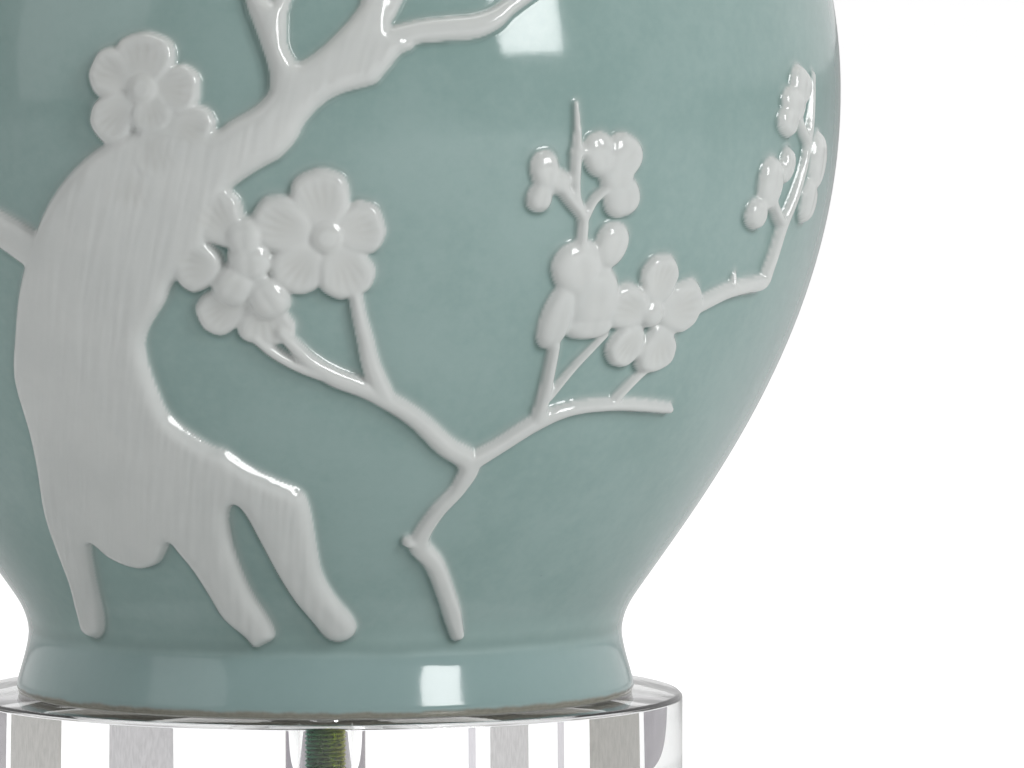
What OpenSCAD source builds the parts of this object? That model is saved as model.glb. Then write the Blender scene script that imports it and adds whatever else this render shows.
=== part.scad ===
// Table lamp: glazed porcelain jar with applied blossom branches on a clear
// acrylic base, with socket, bulb, harp, drum shade and finial.
// Millimetres. Z = 0 is the table, the lamp's axis is Z, -Y is the front.

/* [Base] */
// Radius of the clear acrylic base
base_r = 84.6; // [82:0.2:90]
// Thickness of the clear acrylic base
base_h = 30; // [22:1:40]
// Height of the bumper feet under the base
bumper_h = 2; // [1.5:0.5:4]

/* [Jar] */
// Wall thickness of the porcelain
jar_wall = 6; // [4:0.5:7]
// How far the applied relief stands out from the jar
relief_h = 2.6; // [1.6:0.1:3.6]

/* [Shade] */
// Outside radius of the shade at its bottom edge
shade_bottom_r = 190; // [180:1:205]
// Outside radius of the shade at its top edge
shade_top_r = 163; // [150:1:175]
// Height of the shade
shade_h = 240; // [210:5:250]

/* [Hidden] */
$fn = 96;

// base and rod
foot_z = bumper_h + base_h;
bumper_r = 6;
bumper_at = 48;
rod_r = 4.95;
rod_bore_r = 3.6;
fit_r = 5.05;
base_bore_r = 6.35;
recess_r = 16;
recess_h = 9;
washer_t = 1.6;
nut_h = 6;
base_nut_af = 16;

// jar outline, radius and height above the foot's contact line
jar_h = 268;
floor_under = 14;
floor_top = 21;
floor_hole_r = 7.5;
ring_in_r = 62;
function cub(a, b, c, d, n, s) =
    [for (i = [s:n]) let (t = i / n, u = 1 - t)
        u*u*u*a + 3*u*u*t*b + 3*u*t*t*c + t*t*t*d];
waist = [70.2, 14.5];
hip = [73.4, 23.5];
belly = [121.7, 142];
neck = [46, 248];
jar_foot = cub([71.2, 0], [72.5, 0], [73.1, 0.8], [73.1, 2], 4, 0);
jar_side = concat(
    cub([73.1, 2], [72.2, 6], [70.4, 10.5], waist, 6, 1),
    cub(waist, [70.2, 17.5], [71.4, 20.5], hip, 6, 1),
    cub(hip, hip + [15.5, 22.5], belly - [0, 55.5], belly, 20, 1),
    cub(belly, belly + [0, 61], [80, 240], neck, 22, 1));
jar_lip = concat(
    cub(neck, [44.4, 248.5], [43.8, 250], [44, 253], 4, 1),
    cub([44, 253], [44.3, 258], [49, 258], [49, 262.5], 6, 1),
    cub([49, 262.5], [49, 266], [47.6, jar_h], [45.5, jar_h], 5, 1));
jar_rz = [for (p = jar_side) [p[1], p[0]]];
function jar_r(z) = lookup(z, jar_rz);
function jar_slope(z) = (jar_r(z + 1.5) - jar_r(z - 1.5)) / 3;
function inset_at(z) = let (s = jar_slope(z), n = sqrt(1 + s*s))
    [jar_r(z) - jar_wall / n, z + jar_wall * s / n];
jar_inner = [for (i = [0:26]) inset_at(246 - i * 8.2)];

// relief: discs set square to the glaze, hulled into branches
embed = 1.3;
disc_fn = 9;

// cord inlet through the foot ring
inlet_h = 8.5;
inlet_r = 3.2;
bushing_r = 5;
bushing_flange_r = 6.5;
spot_y = 70;

// head of the lamp, stacked on the rod above the jar
gasket_t = 1.5;
cap_z = foot_z + jar_h + gasket_t;
cap_t = 1.2;
cap_rim_r = 52.4;
spacer_z = cap_z + 10.5;
spacer_h = 22;
ring_z = spacer_z + spacer_h;
saddle_z = ring_z + 2;
saddle_t = 1.8;
saddle_w = 12;
prong_x = 29;
prong_w = 4;
prong_top = saddle_z + 16;
nut_z = saddle_z + saddle_t;
sock_z = nut_z + 3.5;
collar_r = 8;
cap_rim_z = sock_z + 24.7;
shell_r = 16.5;
shell_z = sock_z + 20.2;
shell_top = shell_z + 44.5;
inner_z = sock_z + 21.7;
inner_h = 20;
inner_r = 14.6;
thread_z = inner_z + inner_h;
switch_z = inner_z + 12;

// bulb, medium screw base
bulb_z = thread_z + 4;
bulb_r = 30;
bulb_mid = bulb_z + 70;

// harp
harp_z = prong_top + 0.4;
harp_wire_r = 2;
harp_half = 55;
harp_flat = 7;
harp_top = cap_z + 244.5;
stud_r = 3.15;
stud_z = harp_top + 4;
stud_h = 12;

// shade
hub_z = stud_z + 0.3;
hub_t = 2;
shade_wire_r = 1.6;
shade_top = hub_z + 11.7;
shade_bottom = shade_top - shade_h;
cover_t = 0.8;
liner_t = 0.6;
trim_t = 0.5;
trim_w = 8;
function shade_r(z) = shade_bottom_r
    + (z - shade_bottom) * (shade_top_r - shade_bottom_r) / shade_h;
ring_top_z = shade_top - 2.4;
ring_bottom_z = shade_bottom + 2.4;
ring_gap = cover_t + liner_t + shade_wire_r + 0.25;

// finial
finial_z = hub_z + hub_t + 0.3;
finial_h = 13.5;
ball_r = 13;
ball_seat_r = 6.5;

module turned(profile) { rotate_extrude() polygon(profile); }

module tube(ro, ri, z, h) {
    translate([0, 0, z]) difference() {
        cylinder(r = ro, h = h);
        translate([0, 0, -1]) cylinder(r = ri, h = h + 2);
    }
}

module hex_nut(af, bore, z, h) {
    translate([0, 0, z]) difference() {
        cylinder(r = af / sqrt(3), h = h, $fn = 6);
        translate([0, 0, -1]) cylinder(r = bore, h = h + 2);
    }
}

// ---- base ----
module bumper(sx, sy) {
    color("whitesmoke") translate([sx * bumper_at, sy * bumper_at, 0]) turned([
        [0, 0], [bumper_r - 0.8, 0], [bumper_r, bumper_h], [0, bumper_h]]);
}

module acrylic_base() {
    color("white") turned([
        [recess_r, bumper_h], [base_r - 1, bumper_h], [base_r, bumper_h + 1],
        [base_r, foot_z - 1.5], [base_r - 1.5, foot_z], [base_bore_r, foot_z],
        [base_bore_r, bumper_h + recess_h], [recess_r, bumper_h + recess_h]]);
}

module base_washer() {
    color("silver") tube(14, 5.2, bumper_h + recess_h - washer_t, washer_t);
}

module base_nut() {
    color("goldenrod") hex_nut(base_nut_af, fit_r, bumper_h + recess_h - washer_t - nut_h, nut_h);
}

module threaded_rod() {
    rod_z = bumper_h + 1;
    color("goldenrod") difference() {
        tube(rod_r, rod_bore_r, rod_z, sock_z + 8.2 - rod_z);
        translate([0, 0, foot_z + 7]) rotate([-90, 0, 0]) cylinder(r = 2.6, h = 10);
    }
}

// ---- jar ----
module ceramic_body() {
    up = [0, foot_z];
    outline = concat(jar_foot, jar_side, jar_lip,
        [[42.5, jar_h]], cub([42.5, jar_h], [40.5, jar_h], [39, 266], [39, 262.5], 5, 1),
        [[38.5, 250], [39.6, 244.6]], jar_inner,
        [[64.5, 23.2], [61, floor_top], [floor_hole_r, floor_top],
         [floor_hole_r, floor_under], [60, floor_under], [ring_in_r, 12], [ring_in_r, 1],
         [63, 0]]);
    color("darkseagreen") difference() {
        turned([for (p = outline) p + up]);
        translate([0, 0, foot_z + inlet_h]) rotate([-90, 0, 0]) {
            cylinder(r = bushing_r + 0.05, h = 90);
            translate([0, 0, spot_y]) cylinder(r = bushing_flange_r + 0.1, h = 20);
        }
    }
}

// a child at a point of the jar, its +Z along the jar's outward normal
module on_jar(phi, z) {
    rotate([0, 0, phi]) translate([0, -jar_r(z), z + foot_z])
        rotate([90 + atan(jar_slope(z)), 0, 0]) children();
}

module disc(p, h) {
    on_jar(p[0], p[1]) translate([0, 0, -embed])
        cylinder(r1 = p[2] / 2, r2 = p[2] * 0.36, h = h + embed, $fn = disc_fn);
}

module branch(pts, h) {
    for (i = [0:len(pts) - 2]) hull() {
        disc(pts[i], h);
        disc(pts[i + 1], h);
    }
}

module petal(p, h) {
    hull() on_jar(p[0], p[1]) translate([0, 0, -embed]) scale([p[2], p[3], 1])
        cylinder(r1 = 1, r2 = 0.72, h = h + embed, $fn = disc_fn);
}

module flower(phi, z, r, turn) {
    k = 57.3 / jar_r(z);
    for (i = [0:4]) let (a = turn + 72 * i)
        petal([phi + 0.56 * r * sin(a) * k, z + 0.56 * r * cos(a), 0.44 * r, 0.44 * r], relief_h);
    petal([phi, z, 0.24 * r, 0.24 * r], relief_h + 0.5);
}

trunk_lines = [
    [[-5, 142, 12], [-9, 134, 12.5], [-14, 126, 15], [-19, 116, 15], [-22, 104, 15],
     [-24, 92, 15], [-24, 80, 15], [-22.5, 68, 15], [-19, 59, 14]],
    [[-19, 120, 14], [-26, 108, 15], [-30, 94, 15], [-31, 80, 15], [-30, 66, 15],
     [-28, 54, 14], [-24, 48, 10]],
    [[-20, 62, 13], [-13, 58, 13], [-8, 52, 12], [-5.5, 44, 10.5], [-3.2, 35, 9.5],
     [0, 27, 8.5], [3, 20.8, 6.5]],
    [[-19, 58, 13], [-17, 46, 9.5], [-16.6, 36, 8.5], [-14.5, 27, 7.8], [-12, 19.5, 6.5]],
    [[-28, 56, 15], [-29.5, 45, 14], [-30.5, 40.5, 10]],
    [[-34, 84, 13], [-36, 66, 13], [-40, 50, 12], [-44, 38, 9.5], [-46, 27, 7.5], [-49, 19.5, 6]]];

limb_lines = [
    [[-5, 142, 12], [0, 151, 12], [4, 160, 9.5], [6, 168, 8.4], [9, 177, 7.4], [14, 187, 6.4],
     [21, 196, 5.4], [30, 203, 4.4], [40, 207, 3.2]],
    [[-3.8, 149, 8], [-5.5, 158, 7.6], [-6.2, 166, 6.6], [-9, 176, 5.6], [-14, 186, 4.6],
     [-21, 195, 3.8], [-29, 202, 2.8]],
    [[-5.5, 164, 4.6], [-4, 172, 4.2], [-3.4, 182, 3.4], [-5.5, 193, 2.6]],
    [[7, 157.5, 5.2], [12, 159, 5.2], [16, 159.6, 5.2], [20.4, 165.5, 3.4], [26, 171, 3],
     [33, 176, 2.6], [41, 178, 2]],
    [[25, 19.5, 3.8], [20.5, 30, 4.4], [17.3, 37, 4.8], [14.2, 42, 5.2], [16.2, 50, 3.8],
     [19, 55, 4.2], [19.3, 61, 5.6], [15.5, 65.2, 5], [11, 72, 4.6], [5.5, 78, 5],
     [1, 81.5, 5], [-2, 85.5, 3.6], [-5, 92, 3]],
    [[-2, 82, 3.2], [-5, 85.2, 2.8], [-8, 89.5, 2.6]],
    [[7, 77, 5], [5.4, 84, 4.4], [4.6, 90, 4], [3.9, 95, 3.2], [3.3, 101, 3]],
    [[19.3, 61, 5.2], [23, 65, 4.4], [27.5, 70.6, 4.6], [32, 73, 3.8], [38, 73.6, 3.4],
     [44, 72.8, 3.4], [49, 71.6, 2.8]],
    [[27.5, 71, 4.2], [28, 77, 3], [28.2, 88, 2.4]],
    [[28.3, 76, 2.6], [34.4, 90, 1.8]],
    [[38.2, 74.5, 2.8], [42.4, 82, 2]],
    [[29, 108, 3], [29, 116, 2.6], [27.6, 122, 3], [27.5, 130, 2.8], [27.7, 136, 2], [27.5, 142, 1.2]],
    [[29, 117, 2.6], [31.5, 124, 2.4]],
    [[28.2, 119, 2.6], [25, 126, 2.6]],
    [[47, 95, 4.4], [52, 98.3, 4], [59.8, 100, 4], [60.6, 106, 3.8], [61.6, 113, 3.8],
     [63.4, 119.5, 3.2], [65.2, 127, 2.8], [66, 135, 2.6], [67.4, 147, 1.8]],
    [[65.4, 131, 2.4], [62, 138, 2.2]],
    [[-27, 100, 12], [-36, 112, 9], [-46, 121, 8], [-56, 128, 7], [-66, 138, 6], [-76, 144, 5],
     [-88, 146, 4], [-100, 141, 3.4], [-114, 136, 3.4], [-128, 140, 3], [-142, 150, 2.6],
     [-154, 152, 2]],
    [[-56, 128, 5], [-60, 118, 4], [-68, 110, 3], [-77, 105, 2.4]],
    [[-66, 138, 4.4], [-67, 150, 3.6], [-72, 160, 3], [-82, 166, 2.4]],
    [[120, 20, 5.4], [117, 34, 4.8], [122, 46, 4.2], [120, 58, 4], [127, 70, 3.4], [138, 78, 3],
     [150, 81, 2.4]],
    [[120, 58, 3.6], [113, 69, 3], [112, 82, 2.4]]];

// phi, height, half width, half height of each petal drawn by hand
loose_petals = [
    [-0.2, 122.3, 5.6, 5.6], [4.1, 115.2, 4.8, 5.2], [2.4, 104.9, 5.5, 5.3], [-3.1, 105.8, 5.7, 5.4],
    [-4.7, 115.9, 5.9, 5.7],
    [-12, 118.2, 4.9, 5.2], [-14.5, 107, 4.3, 5.6], [-8, 107.5, 5.6, 6.4], [-8.8, 115.6, 4, 4.6],
    [-12.6, 96.6, 5, 4.2], [-7.4, 98.6, 7.4, 5.2], [-6.6, 91.6, 5, 3.6],
    [-19, 153, 6.4, 5.2], [-15.4, 146, 4.7, 5], [-13.8, 138, 4.6, 4.4], [-17.6, 132.4, 5.8, 5],
    [-23, 149.5, 5, 5.2], [-22.6, 139, 5, 5.6], [-20, 123.6, 5.4, 4.2],
    [40.2, 103.6, 4.8, 4.6], [45.4, 95.8, 6, 6], [43.2, 85.4, 5.4, 4.8], [37.6, 87.6, 4.6, 4.5],
    [36.2, 96.2, 5, 5],
    [33.2, 111, 4.8, 5.4], [29.4, 105.6, 5.2, 5.4], [27.6, 92.4, 4.2, 6.4], [30.2, 98.4, 7, 7.6],
    [24.1, 129, 3.4, 4.4], [23.6, 122, 3.2, 4], [31.8, 131, 7.6, 4.8], [34, 121.6, 4.8, 4.4],
    [33.2, 126, 4.6, 4.6],
    [57.4, 122, 4.8, 6.6], [55.8, 115.8, 4.4, 3.2], [60.8, 127, 3, 4.4],
    [63, 146.4, 4, 3.6], [61.4, 141.6, 4.4, 5.4], [59.8, 137, 4, 3.2],
    [68.4, 127.6, 4.6, 6], [68.4, 118, 4, 4]];

buttons = [[0.2, 113.5, 3.4], [-19.2, 146, 3.2], [40.8, 94.4, 3.1]];

// phi, height, radius, turn of each whole five-petal blossom
whole_blossoms = [
    [-63, 146, 11, 20], [-79, 103, 12, 0], [-85, 168, 12, 40], [-101, 138, 11, 10],
    [-128, 131, 11, 30], [-144, 157, 10, 0], [-157, 149, 12, 50], [111, 86, 11, 15],
    [151, 83, 12, 45], [135, 71, 9, 0], [43, 207, 12, 20], [23, 205, 10, 60], [44, 178, 10, 0],
    [-31, 203, 12, 30], [-6, 197, 11, 10], [-17, 182, 9, 50]];

module relief_trunk() {
    color("gainsboro") for (line = trunk_lines) branch(line, relief_h + 0.6);
}

module relief_branches() {
    color("gainsboro") for (line = limb_lines) branch(line, relief_h - 0.2);
}

module relief_blossoms() {
    color("whitesmoke") {
        for (p = loose_petals) petal(p, relief_h + 0.3);
        for (b = buttons) petal([b[0], b[1], b[2], b[2]], relief_h + 0.8);
        for (f = whole_blossoms) flower(f[0], f[1], f[2], f[3]);
    }
}

module cord_bushing() {
    color("dimgray") translate([0, 0, foot_z + inlet_h]) rotate([-90, 0, 0]) difference() {
        union() {
            translate([0, 0, 60.5]) cylinder(r = bushing_r, h = 12);
            translate([0, 0, spot_y]) cylinder(r = bushing_flange_r, h = 4);
        }
        translate([0, 0, 55]) cylinder(r = inlet_r, h = 25);
    }
}

// ---- stack on the rod ----
module centring_washer() {
    floor_z = foot_z + floor_top;
    color("dimgray") turned([
        [fit_r, floor_z - 5], [floor_hole_r - 0.1, floor_z - 5], [floor_hole_r - 0.1, floor_z],
        [14, floor_z], [14, floor_z + 3], [fit_r, floor_z + 3]]);
}

module cap_gasket() {
    color("dimgray") tube(49, 41, foot_z + jar_h, gasket_t);
}

module vase_cap() {
    z = cap_z;
    top = concat(
        [[cap_rim_r, z - 4.5]], cub([cap_rim_r, z - 1], [cap_rim_r, z + 0.6], [51.6, z + cap_t],
            [50, z + cap_t], 4, 0),
        cub([43, z + cap_t], [34, z + cap_t], [30, z + 10.5], [18, z + 10.5], 8, 0),
        [[5.2, z + 10.5]]);
    under = concat(
        [[5.2, z + 9.3]],
        cub([18, z + 9.3], [29.2, z + 9.3], [33.4, z], [43, z], 8, 0),
        cub([50, z], [50.7, z], [51.2, z - 0.4], [51.2, z - 1], 3, 0),
        [[51.2, z - 4.5]]);
    color("goldenrod") turned(concat(top, under));
}

module neck_spacer() {
    z = spacer_z;
    color("goldenrod") turned(concat(
        [[5.3, z], [15, z], [15, z + 2.2], [13.4, z + 3]],
        cub([13.4, z + 3], [8, z + 5], [7.4, z + 10], [8.4, z + 15], 6, 1),
        [[11.2, z + 17], [12, z + 18.4], [12, z + spacer_h], [5.3, z + spacer_h]]));
}

module check_ring() { color("goldenrod") tube(14, 5.2, ring_z, 2); }

module harp_saddle() {
    bend = 9;
    color("goldenrod") difference() {
        intersection() {
            rotate([90, 0, 0]) linear_extrude(saddle_w, center = true) {
                translate([-(prong_x - bend), saddle_z]) square([2 * (prong_x - bend), saddle_t]);
                for (s = [-1, 1]) scale([s, 1]) translate([prong_x - bend, saddle_z + bend]) {
                    intersection() {
                        difference() { circle(bend); circle(bend - saddle_t); }
                        translate([0, -bend]) square(bend);
                    }
                    translate([bend - saddle_t, 0]) square([saddle_t, prong_top - saddle_z - bend]);
                }
            }
            rotate([90, 0, 90]) linear_extrude(80, center = true) polygon([
                [-saddle_w / 2, saddle_z - 1], [saddle_w / 2, saddle_z - 1],
                [saddle_w / 2, saddle_z + 5], [prong_w / 2, saddle_z + 9.5],
                [prong_w / 2, prong_top + 1], [-prong_w / 2, prong_top + 1],
                [-prong_w / 2, saddle_z + 9.5], [-saddle_w / 2, saddle_z + 5]]);
        }
        translate([0, 0, saddle_z - 1]) cylinder(r = 5.2, h = 4);
    }
}

module saddle_nut() { color("goldenrod") hex_nut(14, fit_r, nut_z, 3.5); }

// ---- socket ----
module socket_cap() {
    z = sock_z;
    color("goldenrod") difference() {
        turned(concat(
            [[collar_r, z]], cub([collar_r, z + 8], [9, z + 14], [shell_r + 0.8, z + 12],
                [shell_r + 0.8, z + 20], 7, 0),
            [[shell_r + 0.8, cap_rim_z], [shell_r + 0.1, cap_rim_z]],
            cub([shell_r + 0.1, z + 20], [shell_r + 0.1, z + 13.4], [9, z + 15.4],
                [6.6, z + 9.4], 7, 0),
            [[fit_r, z + 8.6], [fit_r, z]]));
        translate([0, 0, z + 4.2]) rotate([-90, 0, 0]) cylinder(r = 1.6, h = 12);
    }
}

module set_screw() {
    color("goldenrod") translate([0, 0, sock_z + 4.2]) rotate([-90, 0, 0]) difference() {
        union() {
            translate([0, 0, fit_r + 0.1]) cylinder(r = 1.5, h = 4);
            translate([0, 0, 8.6]) cylinder(r = 2.8, h = 1.8);
        }
        translate([-4, -0.3, 9.5]) cube([8, 0.6, 2]);
    }
}

module socket_shell() {
    z = shell_z;
    color("goldenrod") difference() {
        turned([
            [shell_r, z], [shell_r, z + 5], [17.1, z + 6], [17.1, z + 7.4], [shell_r, z + 8.4],
            [shell_r, z + 30.5], [17, z + 31.5], [17, z + 32.7], [shell_r, z + 33.7],
            [shell_r, shell_top - 1.8], [17, shell_top - 0.8], [16.6, shell_top],
            [shell_r - 0.6, shell_top], [shell_r - 0.6, z]]);
        translate([0, 0, switch_z]) rotate([90, 0, 0]) cylinder(r = 4.2, h = 20);
    }
}

module socket_liner() {
    color("tan") difference() {
        tube(shell_r - 0.7, shell_r - 1.2, shell_z + 1, 42.5);
        translate([0, 0, switch_z]) rotate([90, 0, 0]) cylinder(r = 4.2, h = 20);
    }
}

module socket_interior() {
    color("saddlebrown") difference() {
        turned([[0, inner_z], [inner_r - 1.5, inner_z], [inner_r, inner_z + 1.5],
                [inner_r, thread_z], [0, thread_z]]);
        translate([0, 0, switch_z]) rotate([90, 0, 0]) translate([0, 0, 6.5]) cylinder(r = 2, h = 12);
        for (s = [-1, 1]) translate([s * 8.5, 0, inner_z - 1]) cylinder(r = 1.6, h = 8);
    }
}

module screw_shell() {
    color("goldenrod") turned([
        [9, thread_z], [13.75, thread_z], [13.75, thread_z + 21], [13.35, thread_z + 21],
        [13.35, thread_z + 0.5], [9, thread_z + 0.5]]);
}

module centre_contact() {
    color("goldenrod") translate([0, 2.5, thread_z]) rotate([90, 0, 0]) linear_extrude(5) polygon([
        [-6, 0], [-1, 0], [5, 2.6], [5, 3.2], [-1.3, 0.6], [-6, 0.6]]);
}

module terminal_screw(s) {
    color("goldenrod") translate([s * 8.5, 0, inner_z]) difference() {
        union() {
            translate([0, 0, -1.8]) cylinder(r = 3.1, h = 1.8);
            cylinder(r = 1.5, h = 6);
        }
        translate([-4, -0.4, -2.5]) cube([8, 0.8, 1.5]);
    }
}

module switch_bushing() {
    color("goldenrod") translate([0, 0, switch_z]) rotate([90, 0, 0]) difference() {
        translate([0, 0, inner_r + 0.1]) cylinder(r = 3.6, h = 5);
        cylinder(r = 2, h = 25);
    }
}

module switch_stem() {
    color("goldenrod") translate([0, 0, switch_z]) rotate([90, 0, 0])
        translate([0, 0, 7.2]) cylinder(r = 1.6, h = 20);
}

module switch_knob() {
    knob_y = 20.2;
    flutes = 12;
    color("black") translate([0, 0, switch_z]) rotate([90, 0, 0]) difference() {
        turned([[0, knob_y], [5.2, knob_y], [6.2, knob_y + 1], [5.6, knob_y + 12.4],
                [4.8, knob_y + 13.4], [0, knob_y + 13.4]]);
        translate([0, 0, knob_y - 1]) cylinder(r = 1.65, h = 8.2);
        for (i = [0:flutes - 1]) rotate([0, 0, i * 360 / flutes])
            translate([6.3, 0, knob_y + 2]) cylinder(r = 0.9, h = 20);
    }
}

// ---- bulb ----
module bulb_contact() {
    color("silver") turned([[0, bulb_z], [3, bulb_z], [4.6, bulb_z + 0.8], [4.6, bulb_z + 1.2],
                            [0, bulb_z + 1.2]]);
}

module bulb_insulator() {
    color("black") turned([[0, bulb_z + 1.2], [5.4, bulb_z + 1.2], [11.6, bulb_z + 4.4],
                           [12.2, bulb_z + 6], [0, bulb_z + 6]]);
}

module bulb_cap() {
    z = bulb_z + 4.6;
    color("silver") turned([
        [12.4, z], [13, z + 1], [13, z + 20], [13.4, z + 22.4], [13, z + 22.4], [12.6, z + 20],
        [12.6, z + 1.4], [12.4, z + 1.4]]);
}

module bulb_globe() {
    z = bulb_z + 24;
    glass_t = 1;
    color("white") turned(concat(
        [[12.3, z - 4], [12.3, z + 3]],
        cub([12.8, z + 4.5], [14.4, z + 14], [bulb_r, z + 20], [bulb_r, bulb_mid], 10, 0),
        cub([bulb_r, bulb_mid], [bulb_r, bulb_mid + 16.6], [16.6, bulb_mid + bulb_r],
            [0, bulb_mid + bulb_r], 10, 1),
        cub([0, bulb_mid + bulb_r - glass_t], [16, bulb_mid + bulb_r - glass_t],
            [bulb_r - glass_t, bulb_mid + 16], [bulb_r - glass_t, bulb_mid], 10, 0),
        cub([bulb_r - glass_t, bulb_mid], [bulb_r - glass_t, z + 20.8], [13.4, z + 14.6],
            [11.8, z + 4.9], 10, 1),
        [[11.3, z + 3], [11.3, z - 4]]));
}

// ---- harp ----
harp_half_path = concat(
    [[prong_x - saddle_t / 2, harp_z], [prong_x - saddle_t / 2, harp_z + 12]],
    cub([prong_x - saddle_t / 2, harp_z + 24], [prong_x - saddle_t / 2, harp_z + 42],
        [harp_half, harp_z + 58], [harp_half, harp_z + 94], 12, 0),
    cub([harp_half, harp_z + 94], [harp_half, harp_top - 46], [36, harp_top], [harp_flat, harp_top],
        16, 1),
    [[0, harp_top]]);
harp_n = len(harp_half_path);
harp_path = concat(harp_half_path,
    [for (i = [2:harp_n]) [-harp_half_path[harp_n - i][0], harp_half_path[harp_n - i][1]]]);
wire_sides = 12;

module harp_wire() {
    last = len(harp_path) - 1;
    pts = [for (i = [0:last]) let (
            a = harp_path[max(i - 1, 0)], b = harp_path[min(i + 1, last)],
            t = (b - a) / norm(b - a), c = harp_path[i])
        for (j = [0:wire_sides - 1]) let (u = harp_wire_r * cos(j * 360 / wire_sides),
            v = harp_wire_r * sin(j * 360 / wire_sides))
            [c[0] - t[1] * u, v, c[1] + t[0] * u]];
    sides = [for (i = [0:last - 1], j = [0:wire_sides - 1]) let (k = (j + 1) % wire_sides)
        [i * wire_sides + j, (i + 1) * wire_sides + j, (i + 1) * wire_sides + k, i * wire_sides + k]];
    ends = [[for (j = [0:wire_sides - 1]) j],
            [for (j = [wire_sides - 1:-1:0]) last * wire_sides + j]];
    color("goldenrod") polyhedron(pts, concat(sides, ends));
}

module harp_stud() {
    color("goldenrod") difference() {
        turned([[0, harp_top - 4], [4, harp_top - 4], [5, harp_top - 3], [5, stud_z],
                [stud_r, stud_z], [stud_r, stud_z + stud_h - 0.6], [stud_r - 0.6, stud_z + stud_h],
                [0, stud_z + stud_h]]);
        translate([0, 0, harp_top]) rotate([0, 90, 0]) cylinder(r = harp_wire_r + 0.05, h = 12, center = true);
    }
}

module ferrule(s) {
    z = saddle_z + 10;
    color("goldenrod") translate([s * (prong_x - saddle_t / 2), 0, 0]) turned([
        [2.6, z], [4, z], [4.4, z + 1], [4.4, z + 2.4], [3.9, z + 3.2], [3.9, z + 11.8],
        [4.4, z + 12.6], [4.4, z + 14], [4, z + 15], [2.6, z + 15]]);
}

// ---- shade ----
module shade_spider() {
    ring_r = shade_r(ring_top_z) - ring_gap;
    arm_z = hub_z + 1.5;
    arm_in = 9;
    rise = ring_top_z - arm_z - 0.3;
    run = ring_r - arm_in - 0.9;
    color("goldenrod") {
        tube(12, 3.5, hub_z, hub_t);
        rotate_extrude() translate([ring_r, ring_top_z]) circle(r = shade_wire_r);
        for (i = [0:2]) rotate([0, 0, 90 + i * 120]) translate([arm_in, 0, arm_z])
            rotate([0, 90 - atan(rise / run), 0]) cylinder(r = shade_wire_r, h = norm([rise, run]));
    }
}

module shade_bottom_ring() {
    ring_r = shade_r(ring_bottom_z) - ring_gap;
    color("goldenrod") rotate_extrude() translate([ring_r, ring_bottom_z]) circle(r = shade_wire_r);
}

module shade_skin(out, thick, z0, z1) {
    turned([[shade_r(z0) - out, z0], [shade_r(z1) - out, z1],
            [shade_r(z1) - out - thick, z1], [shade_r(z0) - out - thick, z0]]);
}

module shade_liner() { color("white") shade_skin(cover_t, liner_t, shade_bottom, shade_top); }

module shade_cover() { color("ivory") shade_skin(0, cover_t, shade_bottom, shade_top); }

module trim_top() {
    z = shade_top;
    color("ivory") turned([
        [shade_r(z - trim_w), z - trim_w], [shade_r(z - trim_w) + trim_t, z - trim_w],
        [shade_r(z) + trim_t, z + trim_t], [shade_r(z) - cover_t - liner_t, z + trim_t],
        [shade_r(z) - cover_t - liner_t, z], [shade_r(z), z]]);
}

module trim_bottom() {
    z = shade_bottom;
    color("ivory") turned([
        [shade_r(z + trim_w), z + trim_w], [shade_r(z), z], [shade_r(z) - cover_t - liner_t, z],
        [shade_r(z) - cover_t - liner_t, z - trim_t], [shade_r(z) + trim_t, z - trim_t],
        [shade_r(z + trim_w) + trim_t, z + trim_w]]);
}

// ---- finial ----
module finial_base() {
    z = finial_z;
    color("goldenrod") turned([
        [3.45, z], [6.5, z], [6.5, z + 1.6], [5.2, z + 3], [4.9, z + 8], [5.6, z + 10.4],
        [ball_seat_r + 0.4, z + 12], [ball_seat_r + 0.4, z + finial_h], [0, z + finial_h],
        [0, z + 10.6], [3.45, z + 10.6]]);
}

module finial_knob() {
    ball_z = finial_z + finial_h + sqrt(ball_r * ball_r - ball_seat_r * ball_seat_r);
    color("white") intersection() {
        translate([0, 0, ball_z]) sphere(r = ball_r);
        translate([-20, -20, finial_z + finial_h]) cube(40);
    }
}

bumper(-1, -1);  // bumper_front_left
bumper(1, -1);  // bumper_front_right
bumper(-1, 1);  // bumper_back_left
bumper(1, 1);  // bumper_back_right
acrylic_base();
base_washer();
base_nut();
threaded_rod();
ceramic_body();
relief_trunk();
relief_branches();
relief_blossoms();
cord_bushing();
centring_washer();
cap_gasket();
vase_cap();
neck_spacer();
check_ring();
harp_saddle();
saddle_nut();
socket_cap();
set_screw();
socket_shell();
socket_liner();
socket_interior();
screw_shell();
centre_contact();
terminal_screw(-1);  // terminal_screw_left
terminal_screw(1);  // terminal_screw_right
switch_bushing();
switch_stem();
switch_knob();
bulb_contact();
bulb_insulator();
bulb_cap();
bulb_globe();
harp_wire();
harp_stud();
ferrule(-1);  // ferrule_left
ferrule(1);  // ferrule_right
shade_spider();
shade_bottom_ring();
shade_liner();
shade_cover();
trim_top();
trim_bottom();
finial_base();
finial_knob();
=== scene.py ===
import math

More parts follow.
